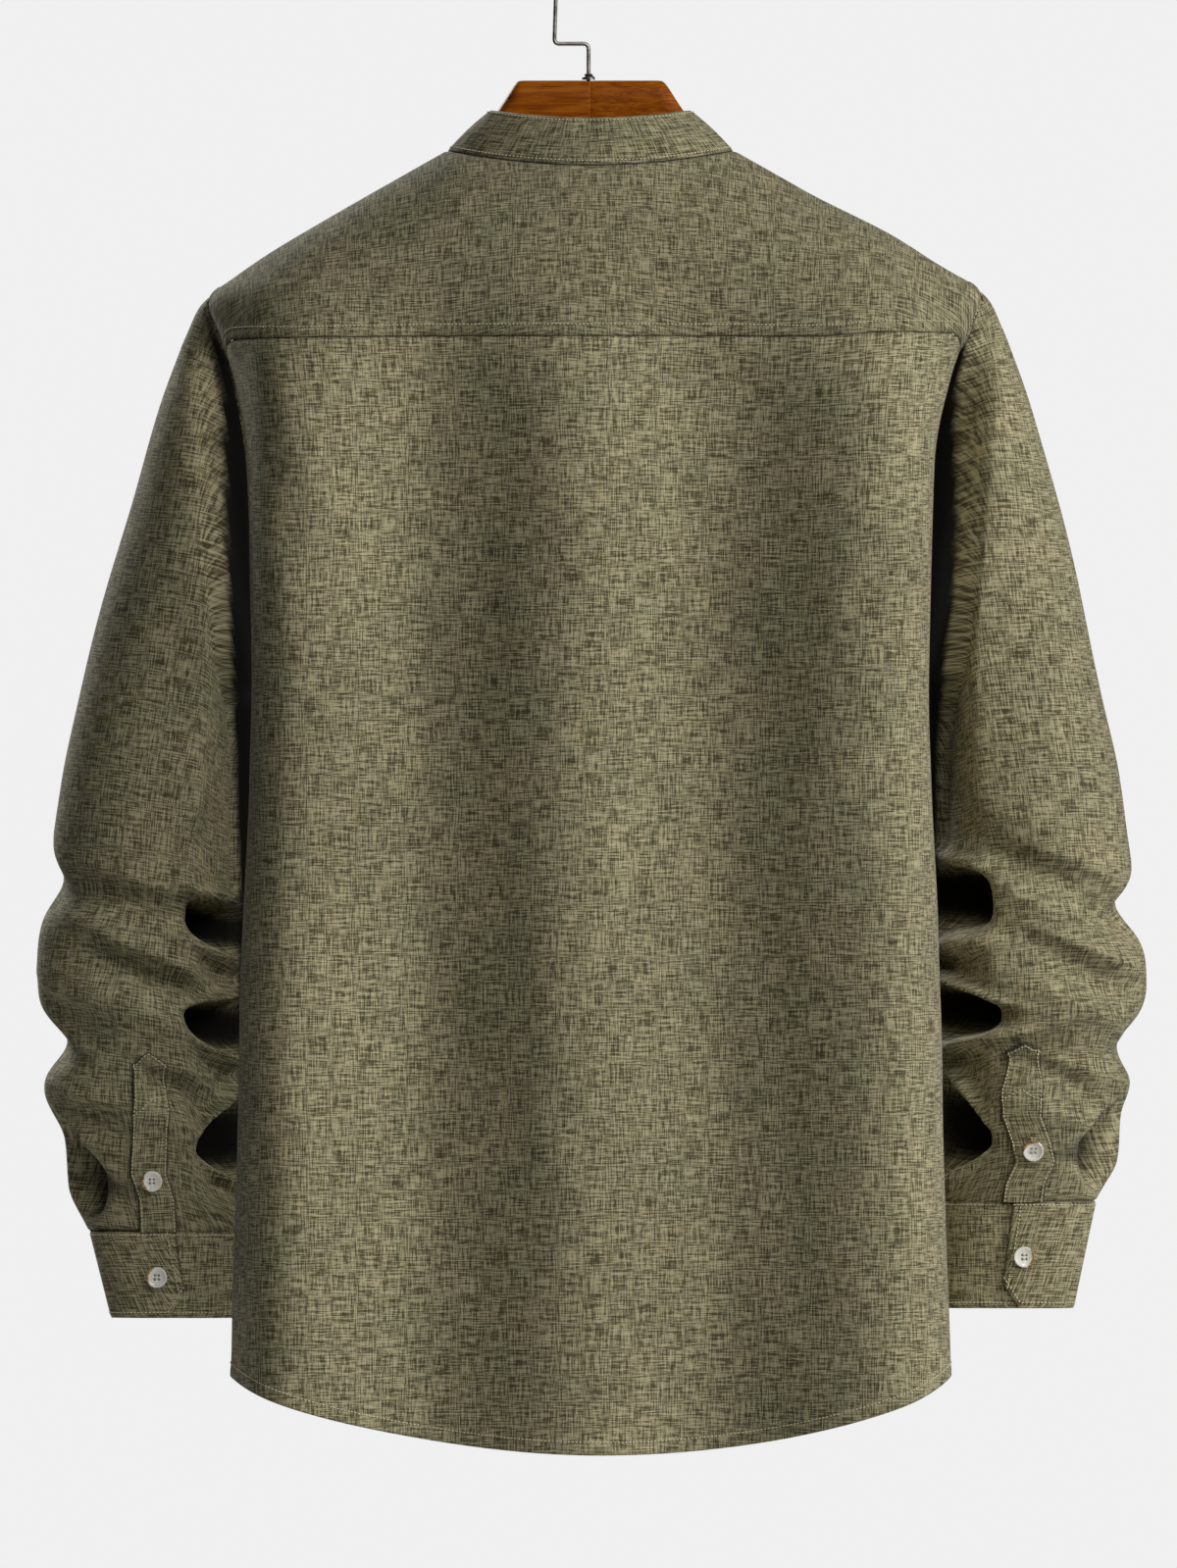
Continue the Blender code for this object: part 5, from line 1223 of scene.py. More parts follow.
def wire_finish():
    """Zinc-plated wire, dulled and lightly scratched."""
    metal = bpy.context.scene.shirt_hanger.metal
    made = Finish("zinc_wire")
    dull = made.noise(made.on_object(), 240.0, 4.0)
    rough = made.add("ShaderNodeMapRange", {"Value": dull, "To Min": 0.28, "To Max": 0.55})
    return made.done(made.ramp(dull, (0.35, dimmed(metal, 0.6)), (0.65, metal)),
                     (dull, 0.2, 0.1 * MM), rough=rough.outputs["Result"], metal=1.0)


def plain_finish(name, scale, detail, rough, *stops):
    """One colour that varies a little over the object."""
    made = Finish(name)
    return made.done(made.ramp(made.noise(made.on_object(), scale, detail), *stops), rough=rough)


def rubber_finish():
    return plain_finish("black_rubber", 600.0, 3.0, 0.6, (0.4, (0.006,) * 3),
                        (0.7, (0.022, 0.020, 0.018)))


def floor_finish():
    return plain_finish("pale_floor", 3.0, 2.0, 0.8, (0.3, (0.80, 0.80, 0.79)),
                        (0.7, (0.84, 0.84, 0.83)))


FINISHES = {"amber": amber_finish, "cloth": cloth_finish, "yoke_collar_cloth": yoke_collar_cloth_finish,
            "thread": thread_finish, "shell": shell_finish, "wood": wood_finish,
            "wire": wire_finish, "rubber": rubber_finish, "floor": floor_finish}
MADE_FINISHES = {}


def finish(name):
    """A finish's material, made the first time that it is asked for."""
    if name not in MADE_FINISHES:
        MADE_FINISHES[name] = FINISHES[name]()
    return MADE_FINISHES[name]


# ================================================================ body panels
def edge_shares(length):
    """Shares of a panel's length at which the turn of its sewn edge needs points."""
    return tuple(step / length for step in EDGE_STEPS)


def spans(piece, way, *marks):
    """Shares of a piece's grid one way, with its marks and the points of its sewn edges."""
    count, length = SPANS[piece][way]
    return spread(count, *marks, ends=edge_shares(length))


def body_relief(point):
    """Soft folds on the body besides the broad ones: how far the cloth stands out or in."""
    x, y, drop = point[..., 0], point[..., 1], -point[..., 2]
    total = np.zeros(x.shape)
    for face, rows in RELIEF.items():
        seen = (y >= 0) if face == "back" else (y < 0)
        for row in rows:
            fold = dict(zip(RELIEF_COLUMNS.split(), row))
            along = drop - fold["drop"]
            across = x - fold["x"] - fold["lean"] * along
            shape = np.exp(-(across / fold["half_width"]) ** 2
                           - (along / fold["half_length"]) ** 2)
            total = total + np.where(seen, fold["out"] * shape, 0.0)
    sway = RIPPLE_SWAY * np.sin(drop * RIPPLE_SWAY_DROP + x * RIPPLE_SWAY_X)
    ripple = np.sin(x * RIPPLE_X + sway) * np.sin(drop * RIPPLE_DROP + x * RIPPLE_SLANT)
    return total + RIPPLE * ripple * between(drop, RIPPLE_FROM)


def hem_fold(away):
    """The narrow hem: a thicker strip with a dent where it is stitched."""
    past = away - HEM_WIDTH
    return (HEM_THICKER * (1 - between(past, HEM_EDGE))
            - HEM_DENT * np.exp(-((past - HEM_DENT_PLACE) / HEM_DENT_WIDTH) ** 2))


def body_cloth(grid, sewn, middle, lift=None, hemmed=False, proud=()):
    """A panel of the body from (turn, drop) pairs."""
    turn, drop = grid[..., 0], grid[..., 1]
    base = body_point(turn, drop)
    normals = body_normal(turn, drop)
    out = body_relief(base)
    if lift:
        out = lift(base[..., 0]) + out
    if hemmed:
        out = out + hem_fold(length_from(base, "bottom"))
    for edge in proud:
        out = out + YOKE_PROUD * (1 - between(length_from(base, edge), (0, YOKE_PROUD_WIDTH)))
    points = rolled(base + out[..., None] * normals, normals, sewn)
    weave = np.stack([around_length(base, middle), drop], -1)
    return cut_back(points, sewn), normals, weave, painted_seam_shade(points, sewn)


def make_back():
    across = spans("back", "across")
    grid = back_grid(across, spans("back", "up", SIDE_STEPS / BACK_STEPS))
    points, normals, weave, shade = body_cloth(
        grid, ("left", "right", "top"), len(across) // 2, hemmed=True)
    cloth_piece("back", points, normals, weave, CLOTH, shade=shade)


def make_yoke():
    kinks = (ARM_YOKE_FRONT, ARM_YOKE_FRONT + ARM_YOKE_BACK,
             ARM_YOKE_FRONT + ARM_YOKE_BACK + YOKE_BACK_STEPS)
    total = 2 * (ARM_YOKE_FRONT + ARM_YOKE_BACK) + YOKE_BACK_STEPS
    marks = [kink / total for kink in kinks] + [1 - ARM_YOKE_FRONT / total]
    grid = yoke_grid(spans("yoke", "across", *marks) * total, spans("yoke", "up"))
    turn, drop = grid[..., 0], grid[..., 1]
    points, normals, _, shade = body_cloth(
        grid, ("left", "right", "bottom", "top"), 0, proud=("bottom",))
    base = body_point(turn, drop)
    x, y = base[..., 0], base[..., 1]
    near = np.abs(y) < YOKE_RIDGE
    ridge = np.polyval(np.polyfit(np.abs(x[near]), drop[near], 2), np.abs(x))
    behind = between(y, YOKE_TURN_OVER)
    weave = np.stack([-YOKE_WEAVE_X * x,
                      behind * (YOKE_WEAVE_DROP * drop + YOKE_WEAVE_Y * y)
                      + (1 - behind) * (YOKE_WEAVE_DROP * ridge + YOKE_AHEAD_WEAVE_Y * y)], -1)
    cloth_piece("yoke", points, normals, weave, CLOTH, look="yoke_collar_cloth", shade=shade)


def make_front(side):
    straight = (FRONT_STEPS - NECK_FRONT_STEPS) / FRONT_STEPS
    grid = front_grid(spans("front", "across"),
                      spans("front", "up", SIDE_STEPS / FRONT_STEPS, straight))
    if side < 0:
        grid = mirrored(grid)
    points, normals, weave, shade = body_cloth(
        grid, ("left", "top"), -1, lift=lambda x: overlap_lift(side, x), hemmed=True)
    beside_neck = -side * points[:, -1:, 0]
    weave = np.stack([weave[..., 0] + beside_neck, grid[..., 1]], -1)
    name = "front_" + SIDE_WORDS[side]
    cloth_piece(name, cut_back(points, ("right",)), normals, weave, CLOTH, shade=shade)


def make_front_band():
    """The band on the left front's edge."""
    across = spans("front_placket", "across")
    x = OVERLAP - 2 * OVERLAP * across[None, :]
    up = spans("front_placket", "up")[:, None]
    top = neck_drop(-np.arccos(x / BODY.at("half_width", NECK_SIDE_DROP)))
    drop = HEM_FRONT_DROP + (top - HEM_FRONT_DROP) * up
    turn = -turn_at_x(x + 0 * up, drop, False)
    base = body_point(turn, drop)
    normals = body_normal(turn, drop)
    stand = OVERLAP_LIFT + LAY_GAP + BAND_CLOTH + body_relief(base)
    points = rolled(base + stand[..., None] * normals, normals, ("left", "right"),
                    BAND_ROLL_DEPTH, BAND_ROLL_WIDTH)
    weave = np.stack([around_length(base, len(across) // 2), drop], -1)
    cloth_piece("front_placket", points, normals, weave, BAND_CLOTH,
                shade=painted_seam_shade(points, ("left", "right")))


def make_collar():
    """The mandarin collar: a band that stands on the neck seam, its ends lapped in front."""
    first = centre_front_angle()
    angles = first + (math.pi - 2 * first) * spread(COLLAR_SPANS)
    seam = neck_edge(angles)
    low, low_out = body_point(*seam.T), body_normal(*seam.T)
    lift = np.where(angles < 0, overlap_lift(1, low[:, 0]), 0.0)[:, None]
    high = collar_top(angles)
    high_out = unit(np.cross(np.gradient(high, axis=0), high - low))
    share = spans("collar", "up")[:, None, None]
    corner = COLLAR_CORNER * (1 - np.sqrt(1 - np.clip(
        1 - np.minimum(np.arange(len(angles)), np.arange(len(angles))[::-1])
        * COLLAR_CORNER_SLOPE, 0, 1) ** 2))
    share = share * (1 - corner[None, :, None])
    line = (1 - share) * low + share * high
    upright = smooth_step(COLLAR_UPRIGHT * share)
    out = unit((1 - upright) * low_out + upright * high_out)
    bulge = COLLAR_BULGE * np.sin(math.pi * share)
    points = rolled(line + (lift + bulge) * out, out, ("bottom", "top", "left", "right"),
                    BAND_ROLL_DEPTH, BAND_ROLL_WIDTH)
    run = np.cumsum(np.linalg.norm(np.diff((low + high) / 2, axis=0), axis=-1))
    run = np.concatenate([[0], run]) - run[len(run) // 2]
    weave = np.stack([run + 0 * line[..., 2], -length_from(line, "bottom")], -1)
    cloth_piece("collar", cut_back(points, ("bottom",)), out, weave, COLLAR_CLOTH,
                look="yoke_collar_cloth", shade=painted_seam_shade(points, ("bottom", "left")))


# ================================================================ sleeves and cuffs
def sleeve_ripple(side, point):
    """Small unevenness of a hanging sleeve."""
    x, drop = side * point[..., 0], -point[..., 2]
    place = np.stack([x, drop], -1)
    wave = (np.sin(place @ SLEEVE_RIPPLE_ACROSS + side)
            * np.sin(place @ SLEEVE_RIPPLE_DOWN + 2 * side))
    return SLEEVE_RIPPLE * wave * between(drop, SLEEVE_RIPPLE_FROM)


def make_sleeve(side):
    name = "sleeve_" + SIDE_WORDS[side]
    upper = SLEEVE_CUFF_RUN * spans("sleeve", "upper")
    lower = SLEEVE_CUFF_RUN + (SLEEVE_LAST_RUN - SLEEVE_CUFF_RUN) * spans("sleeve", "lower")
    run = np.concatenate([upper, lower[1 + len(EDGE_STEPS):]])[:, None]
    angle = np.linspace(-math.pi, math.pi, SLEEVE_COLUMNS + 1)[None, :]
    points = sleeve_point(side, run, angle)
    normals = sleeve_normal(side, run, angle)
    # Painted shade of the sleeve's creases and of the gap beside the body, which the shade map
    # carries into the cloth's colour.
    shade = painted_sleeve_shade(side, points, angle + 0 * run)
    points = points + sleeve_ripple(side, points)[..., None] * normals
    smooth_points = sleeve_ring(side, *np.broadcast_arrays(run, angle))[0]
    points = rolled(points, normals, ("bottom", "top"))
    down = np.linalg.norm(np.diff(smooth_points, axis=0), axis=-1)
    start = (smooth_points[0] * (side, 1, 1)) @ unit(np.array(SLEEVE_THREADS))
    down = np.concatenate([start[None], start + np.cumsum(down, axis=0)])
    round_length = around_length(smooth_points, SLEEVE_COLUMNS * 3 // 4)
    ahead = SLEEVE_COLUMNS // 4
    upright = smooth_points[:, ahead, 0] - smooth_points[-1, ahead, 0]
    shift = round_length[-1, ahead] + upright - round_length[:, ahead]
    facing = 1 - between(np.sin(angle), SLEEVE_WEAVE_TURN)
    weave = np.stack([round_length + shift[:, None] * facing, down], -1)
    points[0, :, 0] += side * SEAM_GAP / 2
    for way in (-SLEEVE_END_IN * normals[-1] * (1, 1, 0), np.array((0, 0, -SLEEVE_END_TURN))):
        points = np.concatenate([points, (points[-1] + way)[None]])
        normals = np.concatenate([normals, normals[-1:]])
        weave = np.concatenate([weave, weave[-1:] + (0, np.linalg.norm(way, axis=-1).max())])
        shade = np.concatenate([shade, shade[-1:]])
    cloth_piece(name, points[:, :-1], normals[:, :-1], weave, CLOTH, round_tube=True,
                shade=shade)


def make_cuff(side):
    name = "cuff_" + SIDE_WORDS[side]
    cuff = CUFFS[side]
    whole = CUFF_END_ANGLE + 2 * math.pi - CUFF_START_ANGLE
    angle = CUFF_START_ANGLE + whole * spans("cuff", "across")
    half = (cuff["bottom_outer"] - cuff["bottom_inner"]) / 2
    to_end = (angle[-1] - angle) * half / CUFF_CHAMFER_WIDTH
    height = cuff["bottom_drop"] - cuff["top_drop"]
    chamfer = CUFF_CHAMFER_HEIGHT / height * np.clip(1 - to_end, 0, 1)
    up = spread(CUFF_SPANS, ends=edge_shares(height))[:, None]
    share = chamfer[None, :] + (1 - chamfer[None, :]) * up
    lift = (CUFF_CLOTH + LAY_GAP) * smooth_step((angle - CUFF_LIFT_FROM)
                                                / (CUFF_LIFT_TO - CUFF_LIFT_FROM))
    points = cuff_point(side, angle[None, :], share, lift[None, :])
    normals = unit(cuff_point(side, angle[None, :], share, lift[None, :] + MM) - points)
    wave = CUFF_WAVE * np.sin(3 * angle + side)[None, :] * (1 - up)
    points = points + wave[..., None] * normals
    points = rolled(points, normals, ("bottom", "top", "right"), BAND_ROLL_DEPTH, BAND_ROLL_WIDTH)
    points[-1, :, 2] += CUFF_OVER
    weave = np.stack([around_length(points, len(angle) // 2), -points[..., 2]], -1)
    cloth_piece(name, points, normals, weave, CUFF_CLOTH,
                shade=np.maximum(painted_seam_shade(points, ("top",)),
                                 painted_seam_shade(points, ("right",), LAP_SHADE)))


def make_sleeve_placket(side):
    name = "sleeve_placket_" + SIDE_WORDS[side]
    across = (2 * spans("sleeve_placket", "across", 0.5) - 1)[None, :]
    up = spans("sleeve_placket", "up")[:, None]
    across, up = np.broadcast_arrays(across, up)
    stand = PLACKET_LAY_GAP + BAND_CLOTH
    points = placket_point(side, across, up, stand)
    normals = unit(placket_point(side, across, up, stand + MM) - points)
    points = points + sleeve_ripple(side, points)[..., None] * normals
    points = rolled(points, normals, ("left", "right", "top"), BAND_ROLL_DEPTH, BAND_ROLL_WIDTH)
    weave = np.stack([around_length(points, across.shape[1] // 2), -points[..., 2]], -1)
    cloth_piece(name, points, normals, weave, BAND_CLOTH,
                shade=painted_seam_shade(points, ("left", "right", "top"), LAP_SHADE))


# ================================================================ sewing
def make_sewing():
    look = bpy.context.scene.shirt_sewing
    for name, rows in STITCH_ROWS.items():
        lines = [edge_line(*row) for row in rows]
        sewing("stitches_" + name, lines, look.pitch, look.length, look.width)


# ================================================================ buttons
def button_places():
    """Where each button's back lies, which way it faces, and the way along its buttonhole."""
    drop = np.linspace(HEM_FRONT_DROP, NECK_FRONT_DROP + BAND_PAST_NECK, BAND_PLACES)
    turn = -turn_at_x(0 * drop, drop, False)
    outs = body_normal(turn, drop)
    band = body_point(turn, drop) + (OVERLAP_LIFT + LAY_GAP + BAND_CLOTH) * outs
    places = {}
    for number, at in enumerate(FRONT_BUTTON_DROPS, 1):
        place = on_line(-at, band[:, 2], band)
        out = unit(on_line(-at, band[:, 2], outs))
        places[f"button_front_{number}"] = (place, out, np.array([0.0, 0.0, 1.0]))
    angle = np.array([-math.pi / 2])
    low, high = body_point(*neck_edge(angle).T)[0], collar_top(angle)[0]
    slope = high - low
    out = unit(np.array([0.0, -slope[2], slope[1]]))
    middle = (low + high) / 2 + (OVERLAP_LIFT + COLLAR_BULGE) * out
    places["button_collar"] = (middle, out, np.array([1.0, 0.0, 0.0]))
    for side, word in SIDE_WORDS.items():
        cuff = CUFFS[side]
        x, drop = CUFF_BUTTONS[side]
        share = (cuff["bottom_drop"] - drop) / (cuff["bottom_drop"] - cuff["top_drop"])
        middle = ((cuff["bottom_outer"] + cuff["bottom_inner"]) * (1 - share)
                  + (cuff["top_outer"] + cuff["top_inner"]) * share) / 2
        half = (cuff["bottom_outer"] - cuff["bottom_inner"]) / 2
        angle = math.pi / 2 - math.asin((x - middle) / half)
        lift = CUFF_CLOTH + LAY_GAP
        place = cuff_point(side, angle, share, lift)
        out = unit(cuff_point(side, angle, share, lift + MM) - place)
        places["button_cuff_" + word] = (place, out, np.array([1.0, 0.0, 0.0]))
        spec = PLACKETS[side]
        up = np.float64((cuff["top_drop"] - GAUNTLET_BUTTONS[side])
                        / (cuff["top_drop"] - spec["tip_drop"]))
        stand = PLACKET_LAY_GAP + BAND_CLOTH
        place = placket_point(side, np.float64(0), up, stand)
        out = unit(placket_point(side, np.float64(0), up, stand + MM) - place)
        places["button_gauntlet_" + word] = (place, out, np.array([0.0, 0.0, 1.0]))
    return places


def button_shape():
    """One button about Z, its back at 0: a turned rim, a sunk middle and four holes."""
    clear_selection()
    bpy.ops.mesh.primitive_cylinder_add(vertices=BUTTON_SIDES, radius=BUTTON_RADIUS,
                                        depth=BUTTON_THICKNESS,
                                        location=(0, 0, BUTTON_THICKNESS / 2))
    item = take_active("button")
    edit_faces(item, lambda centre, normal: normal.z > FACING)
    for inwards, down in BUTTON_STEPS:
        bpy.ops.mesh.inset(thickness=BUTTON_RIM * inwards, depth=-BUTTON_THICKNESS * down)
    bpy.ops.object.mode_set(mode="OBJECT")
    edit_faces(item, lambda centre, normal: normal.z < -FACING)
    bpy.ops.mesh.inset(thickness=BUTTON_RADIUS * BUTTON_BACK[0],
                       depth=BUTTON_THICKNESS * BUTTON_BACK[1])
    bpy.ops.object.mode_set(mode="OBJECT")
    holes = []
    for turn in range(4):
        angle = math.pi / 4 + turn * math.pi / 2
        clear_selection()
        bpy.ops.mesh.primitive_cylinder_add(
            vertices=BUTTON_HOLE_SIDES, radius=BUTTON_HOLE_RADIUS, depth=4 * BUTTON_THICKNESS,
            location=(BUTTON_HOLE_PITCH * math.cos(angle), BUTTON_HOLE_PITCH * math.sin(angle), 0))
        holes.append(take_active("hole"))
    for hole in holes:
        clear_selection()
        bpy.context.view_layer.objects.active = item
        item.select_set(True)
        apply_modifier(item, "BOOLEAN", operation="DIFFERENCE", object=hole)
        remove_shape(hole)
    apply_modifier(item, "BEVEL", width=BUTTON_THICKNESS * BUTTON_BEVEL,
                   segments=BUTTON_BEVEL_STEPS, limit_method="ANGLE",
                   angle_limit=BUTTON_BEVEL_ANGLE)
    return item


def turned_to(place, out, along):
    """The matrix that puts a shape's Z along out and its X along a buttonhole."""
    z = Vector(out).normalized()
    x = (Vector(along) - Vector(along).dot(z) * z).normalized()
    matrix = Matrix((x, z.cross(x), z)).transposed().to_4x4()
    matrix.translation = Vector(place)
    return matrix


def make_buttons():
    model = button_shape()
    clear_selection()
    thread_lines, hole_lines = [], []
    for name, (place, out, along) in button_places().items():
        mesh = model.data.copy()
        mesh.name = name + "_shell"
        way = AMBER_WAYS[len(thread_lines) // 3 % len(AMBER_WAYS)]
        for face in mesh.polygons:
            off = math.atan2(face.center.y, face.center.x) - way
            off = abs((off + math.pi) % (2 * math.pi) - math.pi)
            reach = face.center.xy.length / BUTTON_RADIUS
            limit = AMBER_FROM + AMBER_FADE * (off / AMBER_HALF_ANGLE) ** 2
            face.material_index = int(reach > limit)
        matrix = turned_to(place + BUTTON_STAND * out, out, along)
        mesh.transform(matrix)
        mesh.shade_smooth()
        mesh.set_sharp_from_angle(angle=BUTTON_SHARP_ANGLE)
        mesh.materials.append(finish("shell"))
        mesh.materials.append(finish("amber"))
        item = bpy.data.objects.new(name + "_shell", mesh)
        bpy.context.scene.collection.objects.link(item)
        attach(item, "root")
        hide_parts(name)
        step = BUTTON_HOLE_PITCH * math.sqrt(0.5)
        dish = BUTTON_THICKNESS * BUTTON_DISH
        for across in (-step, step):
            ends = [matrix @ Vector((sign * step, across, dish + THREAD_RISE)) for sign in (-1, 1)]
            line = np.array([ends[0] + (ends[1] - ends[0]) * t for t in (0.0, 0.5, 1.0)])
            thread_lines.append((line, np.tile(out, (3, 1))))
        shank = np.array([place, place + 0.5 * BUTTON_STAND * out, place + 2 * BUTTON_STAND * out])
        thread_lines.append((shank, np.tile(unit(np.array(along, float)), (3, 1))))
        hole_lines += buttonhole_lines(place, out, along)
    remove_shape(model)
    step = 2 * BUTTON_HOLE_PITCH
    sewing("button_threads", thread_lines, step, step * THREAD_REACH, BUTTON_THREAD,
           sink=THREAD_SINK)
    sewing("buttonholes", hole_lines, LONE_STITCH, BUTTONHOLE_STITCH, BUTTON_THREAD,
           sink=BUTTONHOLE_SINK)


def buttonhole_lines(place, out, along):
    """The close stitches on both sides of a buttonhole, each a line of its own."""
    along = unit(np.asarray(along, float) - np.dot(along, out) * out)
    beside = np.cross(out, along)
    lines = []
    count = int(BUTTONHOLE_LENGTH / BUTTONHOLE_PITCH)
    for i in range(count + 1):
        at = -BUTTONHOLE_LENGTH / 2 + i * BUTTONHOLE_LENGTH / count
        for sign in (-1, 1):
            middle = place + at * along + sign * BUTTONHOLE_STITCH * BUTTONHOLE_BESIDE * beside
            half = beside * BUTTONHOLE_HALF_LINE
            line = np.array([middle - half, middle, middle + half])
            lines.append((line, np.tile(out, (3, 1))))
    return lines


# ================================================================ hanger
def make_hanger():
    """One arm drawn out of a block, station by station, and mirrored; then wire and ring."""
    clear_selection()
    stations = [x for x in HANGER_STATIONS if x > 0]
    start = stations[0]
    bpy.ops.mesh.primitive_cylinder_add(vertices=HANGER_SIDES, radius=1.0, depth=start,
                                        end_fill_type="NGON", location=(start / 2, 0, 0),
                                        rotation=(0, math.pi / 2, 0))
    wood = take_active("hanger_wood_finish")
    top, bottom, half = (HANGER.at(key, 0.0) for key in ("top", "bottom", "half_thick"))
    for vertex in wood.data.vertices:
        angle = math.atan2(vertex.co.z, vertex.co.y)
        across, up = section_share(angle, HANGER_ROUNDNESS)
        vertex.co.y = half * across
        vertex.co.z = -(top + bottom) / 2 + (bottom - top) / 2 * up
    edit_faces(wood, lambda centre, normal: normal.x > FACING)
    middle_before, height, thick = -(top + bottom) / 2, bottom - top, half
    for before, x in zip(stations, stations[1:]):
        top, bottom, half = (float(HANGER.at(key, x)) for key in ("top", "bottom", "half_thick"))
        middle = -(top + bottom) / 2
        bpy.ops.mesh.extrude_region_move(
            TRANSFORM_OT_translate={"value": (x - before, 0, middle - middle_before)})
        bpy.ops.transform.resize(value=(1, half / thick, (bottom - top) / height))
        middle_before, height, thick = middle, bottom - top, half
    bpy.ops.mesh.inset(thickness=HANGER_END_INSET)
    bpy.ops.transform.translate(value=(HANGER_END_OUT, 0, 0))
    bpy.ops.object.mode_set(mode="OBJECT")
    edit_faces(wood, lambda centre, normal: normal.x < -FACING)
    bpy.ops.mesh.inset(thickness=JOINT_GROOVE)
    bpy.ops.transform.translate(value=(-JOINT_GROOVE / 2, 0, 0))
    bpy.ops.mesh.delete(type="FACE")
    bpy.ops.object.mode_set(mode="OBJECT")
    for vertex in wood.data.vertices:
        if vertex.co.x < -JOINT_NEAR:
            vertex.co.x = 0.0
        elif vertex.co.x < JOINT_NEAR:
            vertex.co.x = JOINT_LIP
    apply_modifier(wood, "MIRROR", merge_threshold=MERGE_DISTANCE)
    apply_modifier(wood, "SUBSURF", levels=2, render_levels=2)
    wood.data.shade_smooth()
    wood.data.materials.clear()
    wood.data.materials.append(finish("wood"))
    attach(wood, "root")
    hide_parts("hanger_wood")
    for node in ("hanger_hook", "hanger_ferrule"):
        item = frame["nodes"][node]
        item.material_slots[0].link = "OBJECT"
        item.material_slots[0].material = finish("wire")
    clear_selection()
    bpy.ops.mesh.primitive_torus_add(major_radius=RING_RADIUS, minor_radius=RING_HALF_THICK,
                                     major_segments=RING_SEGMENTS, minor_segments=RING_SIDES,
                                     location=(HOOK_STEM_X, 0, RING_HEIGHT - HANGER_TOP))
    ring = take_active("stem_ring")
    edit_faces(ring, lambda centre, normal: normal.z > RING_TOP)
    bpy.ops.transform.translate(value=(0, 0, -RING_PRESSED))
    bpy.ops.object.mode_set(mode="OBJECT")
    ring.data.shade_smooth()
    ring.data.materials.append(finish("rubber"))
    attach(ring, "root")


# ================================================================ stage
def area_light(name, way, far, size, power):
    """A square lamp that shines on the shirt's middle."""
    scene = bpy.context.scene
    light = bpy.data.lights.new(name, "AREA")
    light.size, light.energy = size, power
    item = bpy.data.objects.new(name, light)
    item.location = Vector((0, 0, scene.shirt_stage.centre_z)) + way * far
    item.rotation_euler = way.to_track_quat("Z", "Y").to_euler()
    scene.collection.objects.link(item)
    return item


def make_stage():
    """The camera, soft studio lights, the pale surroundings and a floor."""
    scene = bpy.context.scene
    look = scene.shirt_stage
    lens = bpy.data.cameras.new("camera")
    lens.sensor_width = SENSOR
    lens.lens = SENSOR * look.distance / look.view_height
    camera = bpy.data.objects.new("camera", lens)
    camera.location = (look.centre_x, look.distance + look.near_face, look.centre_z)
    camera.rotation_euler = (math.pi / 2, 0, math.pi)
    scene.collection.objects.link(camera)
    scene.camera = camera
    for name, turn, rise, far, size, power in (
            ("key", look.key_turn, look.key_rise, FAR_LIGHT, look.key_size, look.key_power),
            ("fill", look.fill_turn, look.fill_rise, FAR_LIGHT, FILL_SIZE, look.fill_power),
            ("front_key", *FRONT_KEY, look.front_power)):
        way = Vector((-math.sin(turn) * math.cos(rise), math.cos(turn) * math.cos(rise),
                      math.sin(rise)))
        area_light(name, way, far, size, power)
    sleeve = bpy.data.collections.new("left_sleeve")
    for item in scene.objects:
        if item.type == "MESH" and item.name.split(".")[0].endswith(LEFT_SLEEVE_PIECES):
            sleeve.objects.link(item)
    way = Vector((-math.sin(look.sleeve_turn), math.cos(look.sleeve_turn), SLEEVE_LIGHT_RISE))
    lamp = area_light("sleeve_light", way.normalized(), SLEEVE_LIGHT_FAR, SLEEVE_LIGHT_SIZE,
                      look.sleeve_power)
    lamp.light_linking.receiver_collection = sleeve
    lamp.light_linking.blocker_collection = sleeve
    world = bpy.data.worlds.new("surroundings")
    world.use_nodes = True
    scene.world = world
    tree = world.node_tree
    ambient = tree.nodes["Background"]
    ambient.inputs["Color"].default_value = (1.0, 0.99, 0.96, 1)
    ambient.inputs["Strength"].default_value = look.ambient
    seen = tree.nodes.new("ShaderNodeBackground")
    seen.inputs["Color"].default_value = (*look.backdrop, 1)
    rays = tree.nodes.new("ShaderNodeLightPath")
    both = tree.nodes.new("ShaderNodeMixShader")
    tree.links.new(rays.outputs["Is Camera Ray"], both.inputs[0])
    tree.links.new(ambient.outputs[0], both.inputs[1])
    tree.links.new(seen.outputs[0], both.inputs[2])
    tree.links.new(both.outputs[0], tree.nodes["World Output"].inputs["Surface"])
    clear_selection()
    bpy.ops.mesh.primitive_circle_add(vertices=64, radius=FLOOR_RADIUS, fill_type="NGON",
                                      location=(0, 0, FLOOR_HEIGHT))
    floor = take_active("floor")
    floor.data.materials.append(finish("floor"))
    scene.view_settings.view_transform = "Standard"


# ================================================================ settings, operators and panel
def colour_setting(name, words, default):
    return FloatVectorProperty(name=name, description=words, default=default, subtype="COLOR",
                               size=3, min=0.0, max=1.5)


def size_setting(name, words, default):
    return FloatProperty(name=name, description=words, default=default, unit="LENGTH",
                         subtype="DISTANCE", precision=5)


def number_setting(name, words, default, **kind):
    return FloatProperty(name=name, description=words, default=default, **kind)


def angle_setting(name, words, degrees):
    return number_setting(name, words, math.radians(degrees), subtype="ANGLE")


def power_setting(name, default):
    return number_setting(name, "Watts", default, unit="POWER")


